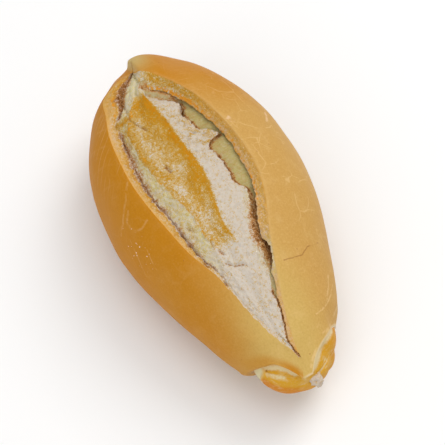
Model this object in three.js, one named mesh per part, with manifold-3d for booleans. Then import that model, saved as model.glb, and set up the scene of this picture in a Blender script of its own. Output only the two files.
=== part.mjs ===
// A crusty white bread roll, slashed once along its top and burst open in the oven.
// Millimetres, +Z up. The long axis is X: the slash runs off the end at -X, and the tucked
// end of the rolled-up dough sticks out at +X. The origin is the middle of the base. Stations
// along X are counted from a little behind it, and the finished roll is moved onto it.
//
// The roll is one solid. Its skin is a sphere geometry whose rows become cross-sections of
// the loaf. Each section's columns go round the crust and then down into the slash, over the
// risen crumb and back out under the overhanging lip. The tucked end is a lump of its own,
// made of rounded lumps and fused on.

import * as THREE from "three";
import { mergeVertices } from "three/addons/utils/BufferGeometryUtils.js";
import Module from "manifold-3d";

const { clamp, lerp, smoothstep } = THREE.MathUtils;

// ---- Driving dimensions ----

const WIDTH = 68;
const HEIGHT = 49;
const FAR_END = -66; // where the slash runs off
const STATION_ZERO = 1.7; // where station 0 stands, so that the roll is centred on the origin
const BELLY_X = -9; // station of the greatest width
const BELLY_HEIGHT = 21; // height of the greatest width
const POLE_HEIGHT = 19; // height of the loaf's far point
const SQUARENESS = 2.15; // exponent of the section's superellipse, 2 being an ellipse
const UNDERSIDE = -2.5; // how far the round section would reach below the base, which cuts it flat

// How the loaf narrows from its belly towards each end: share = (1 - (d / reach)^power)^taper.
// The half-width follows the share itself, the height above the pole share^height, and the
// depth below it share^low, so that the underside lifts only close to the ends.
const FAR_TAPER = { reach: BELLY_X - FAR_END, power: 2.6, taper: 0.7, height: 0.33, low: 0.7 };
const NEAR_TAPER = { reach: 94.6, power: 1.7, taper: 1.29, height: 0.9, low: 0.6 };

// The outer layer of dough ends in an edge over the tucked end, with a point on top.
const LAYER_TIP = 60.7;
const LAYER_DROOP = 1.6; // how far its point sinks onto the tucked end
const LAYER_RETREAT = 16.5; // how far the edge has drawn back under the loaf
const LAYER_CURVE = { minusY: 3.5, plusY: 2.4 }; // how soon it draws back, going round from the point each way
const LAYER_START = 30; // rows begin to lean towards that edge here
const LAYER_THICKNESS = 1.3;

// The slash. Tables are [station, value] pairs, each read as a smooth curve along X.
const SLASH_FAR = -61; // it starts to open here
const SLASH_TIP = 56.4; // and closes here
const OPENING_RAMP = 11; // length over which it opens at the far end
const CLOSING_POWER = 0.7; // how its depth falls off towards the tip
const LEFT_EDGE = [[-66, -2], [-56.5, -4.4], [-54.6, -10.5], [-52, -16.4], [-40, -21], [-21, -23.6], [-4, -22.3],
  [12, -19], [34, -11.4], [56.2, -2.2], [62, -4.2]];
const RIGHT_EDGE = [[-66, 0], [-54, -4], [-49, 0], [-33, 9.2], [-20, 12.6], [-6, 13.7], [4, 12.5], [24, 5],
  [38, 0.8], [56.2, -1.9], [62, 0.2]];
// Widths of the cut faces that slope down from the two edges.
const LEFT_CUT = [[-58, 0.5], [-48, 5.6], [-38, 3.2], [-30, 4], [4, 2.9], [26, 1.3], [58, 0.4]];
const RIGHT_CUT = [[-56, 1], [-46, 4.8], [-20, 2.8], [16, 3.6], [23, 1.4], [58, 0.4]];
const CUT_SHARE = 0.3; // a cut face never takes more than this share of the opening

// Lines along the risen crumb, as shares of the opening from its left edge to its right one.
const CREST_SHARE = 0.54;
const SHOULDER_SHARE = [[-50, 0.55], [-44, 0.5], [-35, 0.2], [-20, 0.18], [4, 0.25], [50, 0.26]];
const TORN_SHARE = [[-50, 0.72], [-28, 0.76], [0, 0.785], [20, 0.8], [38, 0.9], [50, 0.9]];
const TORN_STRANDS = [
  { at: -35, reach: 0.1, spread: 2 },
  { at: -19.6, reach: 0.12, spread: 1.6 },
  { at: 4, reach: 0.06, spread: 3 },
];

// Greatest depths below the closed dome that the loaf would have without the slash.
const DEPTH = {
  leftCut: 2,
  crevice: 8.5,
  foot: 4.6,
  shoulder: 2.3,
  valley: 3.4,
  crest: 1.5,
  torn: 4.7,
  gapFloor: 8.6,
  gapRoot: 11,
  rightCut: 3,
};
const CREVICE_FADE = [14, 36]; // stations over which the crevice grows shallow
const DOUGH_BRIDGE = { at: -39.5, fill: 0.6, spread: 2 }; // dough that still spans the crevice
const GAP_REACH = 3.4; // how far the gap runs in under the right lip
const GAP_ENDS = [-48, -34, 8, 30]; // the gap opens between the first two stations, closes between the last
const CRUMB_RIPPLE = 0.4; // roughness of the torn crumb

// Grid of the loaf's skin.
const CRUST_COLUMNS = 30;
const LOAF_ROWS = 78;
const CLOSING_ROWS = 4; // rows that turn in behind the layer's edge

// The tucked end of the rolled-up dough: lumps, each an ellipsoid turned about Z.
const TUCK_GRID = [22, 14];
const TUCK_LUMPS = [
  { at: [48.4, -0.8, 19], radii: [13.2, 13.2, 12.2], turn: 0 },
  { at: [49.2, 8.8, 18], radii: [7.6, 6, 10], turn: -0.5 },
  { at: [51.8, 7.6, 12.5], radii: [6.2, 5.6, 6.4], turn: -0.4 },
];
const CRUMB_NUB = { at: [60.2, 1.8, 18.6], radii: [2.1, 1.7, 2.2], turn: 0.3 };
const NEAR_HEART = [46, 0, 19]; // where the skin closes, inside the lumps

const CRUST_COLOUR = 0xd09a4c;

// ---- Curves and sections ----

/** A smooth curve through [station, value] pairs, flat beyond its ends. */
function along(pairs) {
  const slope = (i) => {
    const before = pairs[Math.max(i - 1, 0)];
    const after = pairs[Math.min(i + 1, pairs.length - 1)];
    return (after[1] - before[1]) / (after[0] - before[0]);
  };
  return (x) => {
    if (x <= pairs[0][0]) return pairs[0][1];
    const i = pairs.findIndex((pair) => pair[0] >= x);
    if (i < 0) return pairs[pairs.length - 1][1];
    const [x0, y0] = pairs[i - 1];
    const [x1, y1] = pairs[i];
    const span = x1 - x0;
    const t = (x - x0) / span;
    return (
      y0 * (1 + 2 * t) * (1 - t) ** 2 +
      slope(i - 1) * span * t * (1 - t) ** 2 +
      y1 * t * t * (3 - 2 * t) -
      slope(i) * span * t * t * (1 - t)
    );
  };
}

const leftEdge = along(LEFT_EDGE);
const rightEdge = along(RIGHT_EDGE);
const leftCutWidth = along(LEFT_CUT);
const rightCutWidth = along(RIGHT_CUT);
const shoulderShare = along(SHOULDER_SHARE);
const tornShare = along(TORN_SHARE);

/** A bump of height 1 at a station, fading out over its spread. */
function bump(x, at, spread) {
  return Math.exp(-(((x - at) / spread) ** 2));
}

/** How fully the slash is open at station x: 0 at its ends and beyond, 1 over the belly. */
function openness(x) {
  const near = Math.max((SLASH_TIP - x) / (SLASH_TIP - BELLY_X), 0);
  return smoothstep(x, SLASH_FAR, SLASH_FAR + OPENING_RAMP) * Math.min(near ** CLOSING_POWER, 1);
}

/** Half-width and heights of the closed loaf's section at station x. */
function sectionAt(x) {
  const side = x < BELLY_X ? FAR_TAPER : NEAR_TAPER;
  const away = Math.min(Math.abs(x - BELLY_X) / side.reach, 1);
  const share = (1 - away ** side.power) ** side.taper;
  const rise = share ** side.height;
  return {
    halfWidth: (WIDTH / 2) * share,
    top: POLE_HEIGHT + (HEIGHT - POLE_HEIGHT) * rise,
    belly: POLE_HEIGHT + (BELLY_HEIGHT - POLE_HEIGHT) * rise,
    bottom: POLE_HEIGHT + (UNDERSIDE - POLE_HEIGHT) * share ** side.low,
  };
}

/** The closed loaf's surface at station x and ring angle, 0 on top and positive towards +Y. */
function skinPoint(x, angle) {
  const s = sectionAt(x);
  const power = 2 / SQUARENESS;
  const across = Math.sign(Math.sin(angle)) * Math.abs(Math.sin(angle)) ** power;
  const up = Math.abs(Math.cos(angle)) ** power;
  const z = Math.cos(angle) >= 0 ? s.belly + (s.top - s.belly) * up : s.belly - (s.belly - s.bottom) * up;
  return new THREE.Vector3(x, s.halfWidth * across, Math.max(z, 0));
}

/** Height of the closed loaf's dome over the point (x, y). */
function domeHeight(x, y) {
  const s = sectionAt(x);
  const out = Math.min(Math.abs(y) / s.halfWidth, 1);
  return s.belly + (s.top - s.belly) * (1 - out ** SQUARENESS) ** (1 / SQUARENESS);
}

/** The ring angle at which the dome at station x stands over y. */
function angleOver(x, y) {
  const out = Math.min(Math.abs(y) / sectionAt(x).halfWidth, 0.999);
  return Math.sign(y) * Math.asin(out ** (SQUARENESS / 2));
}

/** How far the outer layer's edge has drawn back, at a share of the way round from its point to the bottom. */
function layerRetreat(share, curve) {
  return (LAYER_RETREAT * (1 - Math.exp(-curve * share))) / (1 - Math.exp(-curve));
}

/** How far the top of the outer layer has sunk at station x. */
function droopAt(x) {
  return LAYER_DROOP * smoothstep(x, SLASH_TIP - 8, LAYER_TIP);
}

/** Roughness of the torn crumb over (x, y), between -1 and 1. */
function ripple(x, y) {
  return (Math.sin(0.6 * x + 0.7 * y) + Math.sin(0.9 * y - 0.7 * x + 1) + Math.sin(1.1 * x + 0.3 * y + 2)) / 3;
}

// ---- The loaf's skin ----

/** The slash's corners at station x, from the left crust edge to the right one, with the steps to each. */
function slashCorners(x) {
  const left = leftEdge(x);
  const right = rightEdge(x);
  const width = right - left;
  const leftCut = left + Math.min(leftCutWidth(x), CUT_SHARE * width);
  const rightCut = right - Math.min(rightCutWidth(x), CUT_SHARE * width);
  const strands = TORN_STRANDS.reduce((sum, { at, reach, spread }) => sum + reach * bump(x, at, spread), 0);
  const torn = Math.min(left + (tornShare(x) + strands) * width, lerp(leftCut, rightCut, 0.95));
  const crest = clamp(left + CREST_SHARE * width, lerp(leftCut, torn, 0.3), lerp(leftCut, torn, 0.9));
  const shoulder = clamp(left + shoulderShare(x) * width, lerp(leftCut, crest, 0.25), lerp(leftCut, crest, 0.85));
  const foot = leftCut + Math.min(1, 0.6 * (shoulder - leftCut));
  const open = openness(x);
  const bridged = 1 - DOUGH_BRIDGE.fill * bump(x, DOUGH_BRIDGE.at, DOUGH_BRIDGE.spread);
  const faded = 1 - 0.65 * smoothstep(x, ...CREVICE_FADE);
  const gap = smoothstep(x, GAP_ENDS[0], GAP_ENDS[1]) * (1 - smoothstep(x, GAP_ENDS[2], GAP_ENDS[3]));
  const floor = lerp(torn, rightCut, 0.08);
  const root = lerp((floor + rightCut) / 2, right + GAP_REACH * gap, Math.min(2 * open, 1));
  const rough = CRUMB_RIPPLE * open;
  const corner = (y, depth, steps, ripples = 0) => ({ y, drop: depth * open, steps, ripples });
  return [
    corner(left, 0, 0),
    corner(leftCut, DEPTH.leftCut, 2),
    corner((leftCut + foot) / 2, DEPTH.crevice * bridged * faded, 2),
    corner(foot, DEPTH.foot, 2),
    corner(shoulder, DEPTH.shoulder, 3),
    corner((shoulder + crest) / 2, DEPTH.valley, 3, rough),
    corner(crest, DEPTH.crest, 2, rough),
    corner(torn, DEPTH.torn, 5, rough),
    corner(floor, lerp(DEPTH.torn, DEPTH.gapFloor, gap), 2),
    corner(root, lerp(DEPTH.gapFloor, DEPTH.gapRoot, gap), 3),
    corner(rightCut, DEPTH.rightCut, 2),
    corner(right, 0, 2),
  ];
}

/** Station of a row, with the rows closer together at the far end. */
function rowStation(row) {
  const u = row / LOAF_ROWS;
  return FAR_END + (LAYER_TIP - FAR_END) * u * (1 - 0.7 * (1 - u) ** 3);
}

/** One closed section of the loaf: round the crust from the right edge to the left, then through the slash. */
function loafSection(row) {
  const station = rowStation(row);
  const lean = smoothstep(station, LAYER_START, LAYER_TIP);
  const from = angleOver(station, rightEdge(station));
  const to = angleOver(station, leftEdge(station)) + 2 * Math.PI;
  const points = [];
  for (let i = 0; i < CRUST_COLUMNS; i++) {
    const angle = from + ((to - from) * i) / CRUST_COLUMNS;
    const plusY = angle < Math.PI;
    const round = plusY ? (angle - from) / (Math.PI - from) : (to - angle) / (to - Math.PI);
    const retreat = layerRetreat(round, plusY ? LAYER_CURVE.plusY : LAYER_CURVE.minusY);
    const point = skinPoint(station - retreat * lean, angle);
    point.z -= droopAt(station) * (1 - round) ** 3;
    points.push(point);
  }
  const corners = slashCorners(station);
  corners.slice(1).forEach((next, i) => {
    const last = corners[i];
    for (let k = 0; k < next.steps; k++) {
      const t = k / next.steps;
      const y = lerp(last.y, next.y, t);
      const drop = lerp(last.drop, next.drop, t);
      const rough = lerp(last.ripples, next.ripples, t) * ripple(station, y);
      points.push(new THREE.Vector3(station, y, domeHeight(station, y) - drop + rough - droopAt(station)));
    }
  });
  return points;
}

/** The sections from the far point to the layer's edge, and those that turn in behind the edge. */
function loafSections() {
  const sections = [];
  for (let row = 1; row <= LOAF_ROWS; row++) sections.push(loafSection(row));
  const edge = sections[sections.length - 1];
  const heart = new THREE.Vector3(...NEAR_HEART);
  for (let k = 1; k <= CLOSING_ROWS; k++) {
    const inward = LAYER_THICKNESS / 14 + (0.7 * (k - 1)) / CLOSING_ROWS;
    sections.push(edge.map((p) => p.clone().lerp(heart, inward)));
  }
  return sections;
}

/** A sphere geometry whose rows are moved onto the given sections, closed by a point at each end. */
function skinOver(first, sections, last) {
  const columns = sections[0].length;
  const geometry = new THREE.SphereGeometry(1, columns, sections.length + 1);
  const position = geometry.getAttribute("position");
  for (let row = 0; row <= sections.length + 1; row++) {
    for (let column = 0; column <= columns; column++) {
      const ring = sections[row - 1];
      const point = row === 0 ? first : ring ? ring[column % columns] : last;
      position.setXYZ(row * (columns + 1) + column, point.x, point.y, point.z);
    }
  }
  return geometry;
}

// ---- Joining ----

const wasm = await Module();
wasm.setup();

/** A three.js geometry as a manifold-3d solid, its seams merged. */
function solidFrom(geometry) {
  const bare = new THREE.BufferGeometry();
  bare.setAttribute("position", geometry.getAttribute("position"));
  bare.setIndex(geometry.getIndex());
  const merged = mergeVertices(bare, 1e-4);
  return new wasm.Manifold(
    new wasm.Mesh({
      numProp: 3,
      vertProperties: merged.getAttribute("position").array,
      triVerts: new Uint32Array(merged.getIndex().array),
    }),
  );
}

/** A manifold-3d solid as a three.js geometry. */
function geometryFrom(solid) {
  const mesh = solid.getMesh();
  const geometry = new THREE.BufferGeometry();
  geometry.setAttribute("position", new THREE.BufferAttribute(mesh.vertProperties, 3));
  geometry.setIndex(new THREE.BufferAttribute(mesh.triVerts, 1));
  geometry.computeVertexNormals();
  return geometry;
}

/** A lump of dough: an ellipsoid turned about Z and put in place. */
function lump({ at, radii, turn }) {
  const geometry = new THREE.SphereGeometry(1, ...TUCK_GRID);
  geometry.scale(...radii);
  geometry.rotateZ(turn);
  geometry.translate(...at);
  return geometry;
}

/** The whole roll as one solid. */
function rollSolid() {
  const farPoint = new THREE.Vector3(FAR_END, leftEdge(FAR_END) / 2, POLE_HEIGHT);
  const nearPoint = new THREE.Vector3(...NEAR_HEART);
  let roll = solidFrom(skinOver(farPoint, loafSections(), nearPoint));
  for (const piece of [...TUCK_LUMPS, CRUMB_NUB]) roll = roll.add(solidFrom(lump(piece)));
  return roll.translate([STATION_ZERO, 0, 0]);
}

const crust = new THREE.MeshStandardMaterial({ color: CRUST_COLOUR, roughness: 0.55, metalness: 0 });
const breadRoll = new THREE.Mesh(geometryFrom(rollSolid()), crust);
breadRoll.name = "bread_roll";

const model = new THREE.Group();
model.add(breadRoll);

export default model;
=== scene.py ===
"""A crusty bread roll, slashed along its top and burst open in the oven, on a pale table."""

import logging
import math
from dataclasses import dataclass, field
from enum import Enum

import bmesh
import bpy
import numpy as np
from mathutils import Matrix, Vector, noise


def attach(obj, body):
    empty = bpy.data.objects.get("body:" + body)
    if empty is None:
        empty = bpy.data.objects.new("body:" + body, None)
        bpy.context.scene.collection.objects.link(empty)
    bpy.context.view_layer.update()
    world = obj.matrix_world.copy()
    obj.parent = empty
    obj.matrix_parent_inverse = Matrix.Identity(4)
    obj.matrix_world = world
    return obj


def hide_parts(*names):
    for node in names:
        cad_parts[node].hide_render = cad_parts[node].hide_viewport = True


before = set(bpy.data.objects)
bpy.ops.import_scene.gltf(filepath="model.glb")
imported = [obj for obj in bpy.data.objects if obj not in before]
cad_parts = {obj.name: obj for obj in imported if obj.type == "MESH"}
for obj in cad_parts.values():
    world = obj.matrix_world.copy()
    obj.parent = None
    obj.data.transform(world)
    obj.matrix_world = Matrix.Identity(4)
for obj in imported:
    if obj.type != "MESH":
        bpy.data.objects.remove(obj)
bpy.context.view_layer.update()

LOG = logging.getLogger("bread_roll")
MM = 0.001
STATION_ZERO = 1.7  # where station 0 of the loaf stands along X, in millimetres
PULLED = np.array([1.0, 0.24, 0.5])  # squeezes noise so that it runs across the slash, like pulled dough
SHORTEST = 0.05  # least width that a share of a width is measured against, in millimetres
JUST_PAST = 0.01  # added to a strip's place to leave out its first column

Shade = tuple[float, float, float, float]
Point = tuple[float, float, float]
Socket = bpy.types.NodeSocket
Value = Socket | float


# ---- Numbers and curves ----


def shade(red: int, green: int, blue: int) -> Shade:
    """Turns a colour as seen on a screen into the linear colour that a shader takes.

    Args:
        red: Red, from 0 to 255.
        green: Green, from 0 to 255.
        blue: Blue, from 0 to 255.

    Returns:
        The linear colour with an alpha of 1.
    """
    parts = [c / 255 for c in (red, green, blue)]
    linear = [p / 12.92 if p <= 0.04045 else ((p + 0.055) / 1.055) ** 2.4 for p in parts]
    return (linear[0], linear[1], linear[2], 1.0)


def ease(x: np.ndarray, low: float, high: float) -> np.ndarray:
    """Rises smoothly from 0 at low to 1 at high."""
    t = np.clip((np.asarray(x, float) - low) / (high - low), 0.0, 1.0)
    return t * t * (3.0 - 2.0 * t)


def swell(x: np.ndarray, at: float, spread: float) -> np.ndarray:
    """A rounded bump of height 1 at a place, gone beyond about twice its spread."""
    return np.exp(-(((np.asarray(x, float) - at) / spread) ** 2))


def blend(a: np.ndarray, b: np.ndarray, t: np.ndarray) -> np.ndarray:
    """Goes from a to b as t goes from 0 to 1."""
    return a + (b - a) * t


def in_metres(point: Point) -> Point:
    """Turns a station, place across and height into a place in the scene."""
    return ((point[0] + STATION_ZERO) * MM, point[1] * MM, point[2] * MM)


@dataclass(frozen=True)
class Track:
    """A value that changes smoothly along the loaf.

    Attributes:
        pairs: Station and value, both in millimetres, in order of station.
    """

    pairs: tuple[tuple[float, float], ...]

    def at(self, x: np.ndarray) -> np.ndarray:
        """Reads the value at stations.

        Args:
            x: Stations in millimetres.

        Returns:
            The value at each station, level beyond the ends.
        """
        s = np.array([p[0] for p in self.pairs])
        v = np.array([p[1] for p in self.pairs])
        slope = np.empty_like(v)
        slope[1:-1] = (v[2:] - v[:-2]) / (s[2:] - s[:-2])
        slope[0] = (v[1] - v[0]) / (s[1] - s[0])
        slope[-1] = (v[-1] - v[-2]) / (s[-1] - s[-2])
        x = np.clip(np.asarray(x, float), s[0], s[-1])
        i = np.clip(np.searchsorted(s, x, side="right") - 1, 0, len(s) - 2)
        span = s[i + 1] - s[i]
        t = (x - s[i]) / span
        start = v[i] * (1 + 2 * t) * (1 - t) ** 2 + slope[i] * span * t * (1 - t) ** 2
        stop = v[i + 1] * t * t * (3 - 2 * t) - slope[i + 1] * span * t * t * (1 - t)
        return start + stop


@dataclass(frozen=True)
class Grain:
    """Seeded noise of one size.

    Attributes:
        size: Width of a lump of it, in millimetres.
        seed: Which noise it is.
        octaves: How many finer layers it has.
    """

    size: float
    seed: float
    octaves: int = 3

    def over(self, points: np.ndarray) -> np.ndarray:
        """Reads the noise at points.

        Args:
            points: Places in millimetres, as an array that ends in three coordinates.

        Returns:
            Values of about -1 to 1, in the shape of the array without its last axis.
        """
        flat = points.reshape(-1, 3) / self.size + self.seed
        values = [noise.fractal(p, 1.0, 2.0, self.octaves) for p in flat]
        return np.array(values).reshape(points.shape[:-1])

    def along(self, x: np.ndarray) -> np.ndarray:
        """Reads the noise along a line, at stations x."""
        return self.over(np.stack([x, 0.0 * x, 0.0 * x], axis=-1))


@dataclass(frozen=True)
class Fray:
    """How ragged a line is.

    Attributes:
        grains: The noises that push it aside, each after its reach in millimetres.
    """

    grains: tuple[tuple[float, Grain], ...]

    def along(self, x: np.ndarray) -> np.ndarray:
        """How far the line is pushed aside at stations x, in millimetres."""
        return sum(reach * grain.along(x) for reach, grain in self.grains)


@dataclass(frozen=True)
class Stroke:
    """A thin line on the dough, such as a crack, a crease, a stretch mark or a pit.

    Attributes:
        path: Station, place across and height of the points that it passes, in millimetres.
        width: Half its width, in millimetres.
        stray: How far it strays from its path, in millimetres.
    """

    path: tuple[Point, ...]
    width: float
    stray: float = 0.25

    def nearness(self, points: np.ndarray, axes: int = 3) -> np.ndarray:
        """How near points are to the line.

        Args:
            points: Places in millimetres.
            axes: 3 to measure in space, 2 to measure as seen from above.

        Returns:
            1 on the line, and almost 0 beyond twice its half-width.
        """
        away = np.full(points.shape[:-1], np.inf)
        for start, stop in zip(self.path, self.path[1:]):
            first = np.array(start[:axes])
            span = np.array(stop[:axes]) - first
            offset = points[..., :axes] - first
            t = np.clip(offset @ span / (span @ span), 0.0, 1.0)
            away = np.minimum(away, np.linalg.norm(offset - t[..., None] * span, axis=-1))
        close = away < 3 * self.width + self.stray
        wander = Grain(1.2, 5.0, 2)
        away[close] += self.stray * wander.over(points[close])
        return np.exp(-((np.maximum(away, 0.0) / self.width) ** 2))


# ---- Form of the loaf ----


@dataclass(frozen=True)
class Taper:
    """How the loaf narrows from its belly towards one end.

    Attributes:
        reach: Distance from the belly at which it would come to nothing.
        power: How long it stays full.
        taper: How pointed it gets.
        height: How its height follows its width.
        low: How its underside follows its width.
    """

    reach: float
    power: float
    taper: float
    height: float
    low: float


@dataclass(frozen=True)
class LoafForm:
    """The closed form of the loaf, in millimetres.

    Attributes:
        width: Greatest width.
        height: Greatest height.
        far_end: Station of the far point.
        belly_x: Station of the greatest width.
        belly_height: Height of the greatest width.
        pole_height: Height of the far point.
        squareness: Exponent of the section's outline.
        underside: Height that the round section would reach below the table.
        far: Taper of the far end.
        near: Taper of the near end.
    """

    width: float = 68.0
    height: float = 49.0
    far_end: float = -66.0
    belly_x: float = -9.0
    belly_height: float = 21.0
    pole_height: float = 19.0
    squareness: float = 2.15
    underside: float = -2.5
    far: Taper = Taper(reach=57.0, power=2.6, taper=0.7, height=0.33, low=0.7)
    near: Taper = Taper(reach=94.6, power=1.7, taper=1.29, height=0.9, low=0.6)

    def share(self, x: np.ndarray) -> tuple[np.ndarray, np.ndarray, np.ndarray]:
        """How full the loaf is at stations.

        Args:
            x: Stations.

        Returns:
            Width, height and underside, each as a share of its greatest.
        """
        shares, rises, lows = [], [], []
        for side in (self.far, self.near):
            away = np.clip(np.abs(x - self.belly_x) / side.reach, 0.0, 1.0)
            part = np.clip(1.0 - away**side.power, 0.0, 1.0) ** side.taper
            shares.append(part)
            rises.append(part**side.height)
            lows.append(part**side.low)
        far = x < self.belly_x
        return tuple(np.where(far, *pair) for pair in (shares, rises, lows))

    def section(self, x: np.ndarray) -> tuple[np.ndarray, ...]:
        """Sizes of the section at stations.

        Args:
            x: Stations.

        Returns:
            Half-width, height of the top, of the belly and of the bottom.
        """
        share, rise, low = self.share(x)
        half = np.maximum(self.width / 2 * share, 1e-6)
        top = self.pole_height + (self.height - self.pole_height) * rise
        belly = self.pole_height + (self.belly_height - self.pole_height) * rise
        bottom = self.pole_height + (self.underside - self.pole_height) * low
        return half, top, belly, bottom

    def dome(self, x: np.ndarray, y: np.ndarray) -> np.ndarray:
        """Height of the closed loaf's top.

        Args:
            x: Stations.
            y: Places across.

        Returns:
            The height over each.
        """
        half, top, belly, _ = self.section(x)
        out = np.clip(np.abs(y) / half, 0.0, 1.0)
        return belly + (top - belly) * (1 - out**self.squareness) ** (1 / self.squareness)

    def angle_over(self, x: np.ndarray, y: np.ndarray) -> np.ndarray:
        """Angle round the section, 0 on top and positive towards +Y, that stands over y."""
        out = np.clip(np.abs(y) / self.section(x)[0], 0.0, 0.999)
        return np.sign(y) * np.arcsin(out ** (self.squareness / 2))

    def skin(self, x: np.ndarray, angle: np.ndarray) -> np.ndarray:
        """Points of the closed loaf's surface.

        Args:
            x: Stations.
            angle: Angles round the section.

        Returns:
            An array of points, cut flat at the table.
        """
        half, top, belly, bottom = self.section(x)
        power = 2 / self.squareness
        across = np.sign(np.sin(angle)) * np.abs(np.sin(angle)) ** power
        up = np.abs(np.cos(angle)) ** power
        above, below = belly + (top - belly) * up, belly - (belly - bottom) * up
        z = np.where(np.cos(angle) >= 0, above, below)
        return np.stack([x + 0 * z, half * across, np.maximum(z, 0.0)], axis=-1)


@dataclass(frozen=True)
class OuterLayer:
    """The edge of the outer layer of dough, over the tucked end.

    Attributes:
        tip: Station of its point, on top.
        start: Station from which the sections lean towards the edge.
        back_left: How far the edge has drawn back on the -Y side, by share of the way down.
        back_right: The same on the +Y side.
        droop: How far its point sinks.
        droop_start: Station from which the top sinks towards the point.
        torn_roll: Radius of its edge on the right, where it was torn.
        folded_roll: Radius of its edge at the lower left, where it is folded in.
        folding: Places on the -Y side between which its edge goes from torn to folded.
    """

    tip: float = 60.7
    start: float = 30.0
    back_left: Track = Track(
        ((0, 0), (0.05, 2.8), (0.1, 5.4), (0.18, 8.6), (0.28, 11), (0.6, 15.8), (1, 17))
    )
    back_right: Track = Track(
        ((0, 0), (0.06, 3.2), (0.13, 5.9), (0.23, 8.7), (0.32, 11.2), (0.6, 14.6), (1, 17))
    )
    droop: float = 1.6
    droop_start: float = 48.4
    torn_roll: float = 0.65
    folded_roll: float = 2.2
    folding: tuple[float, float] = (9.0, 13.0)

    def drawn_back(self, share: np.ndarray, right: np.ndarray) -> np.ndarray:
        """How far the edge has drawn back.

        Args:
            share: How far round from the point to the bottom, 0 to 1.
            right: True on the +Y side.

        Returns:
            Millimetres towards -X.
        """
        return np.where(right, self.back_right.at(share), self.back_left.at(share))

    def sunk(self, x: np.ndarray) -> np.ndarray:
        """How far the top has sunk at stations."""
        return self.droop * ease(x, self.droop_start, self.tip)

    def roll(self, edge: np.ndarray) -> np.ndarray:
        """Radius of the edge at points on it."""
        return blend(self.torn_roll, self.folded_roll, ease(-edge[:, 1], *self.folding))


# ---- The slash ----


class Strip(Enum):
    """Strips across the slash, from the left crust edge to the right one."""

    LEFT_CUT = (0, 18, 0.1, 0.38, 0.0)
    CREVICE_IN = (1, 9, 0.4, 0.45, 0.0)
    CREVICE_OUT = (2, 8, 0.4, 0.4, 0.0)
    SLOPE = (3, 14, 0.2, 0.46, 0.6)
    HOLLOW = (4, 26, 0.4, 0.22, 0.0)
    RISE = (5, 22, 0.35, 0.16, 0.0)
    CRUMB = (6, 44, 0.4, 0.34, 0.4)
    TEAR = (7, 12, 0.6, 0.5, 0.0)
    FLOOR = (8, 26, 0.25, 0.1, 0.0)
    ROOF = (9, 9, 0.6, 0.3, 0.0)
    RIGHT_CUT = (10, 20, 0.15, 0.34, 0.0)

    def __init__(self, place: int, columns: int, lumps: float, crumbs: float, furrows: float) -> None:
        """Names what a strip's numbers are.

        Args:
            place: Its place in the order from left to right.
            columns: How many columns of the mesh it takes.
            lumps: Height of its coarse relief, in millimetres.
            crumbs: Height of its fine relief, in millimetres.
            furrows: Depth of its furrows, in millimetres.
        """
        self.place = place
        self.columns = columns
        self.lumps = lumps
        self.crumbs = crumbs
        self.furrows = furrows

    def holds(self, across: np.ndarray) -> np.ndarray:
        """True for the places across the slash that lie in this strip."""
        return (across >= self.place) & (across < self.place + 1)


@dataclass(frozen=True)
class Line:
    """A line along the slash.

    Attributes:
        y: Its place across the roll, one value a station.
        drop: How far it lies below the closed dome, one value a station.
    """

    y: np.ndarray
    drop: np.ndarray


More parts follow.
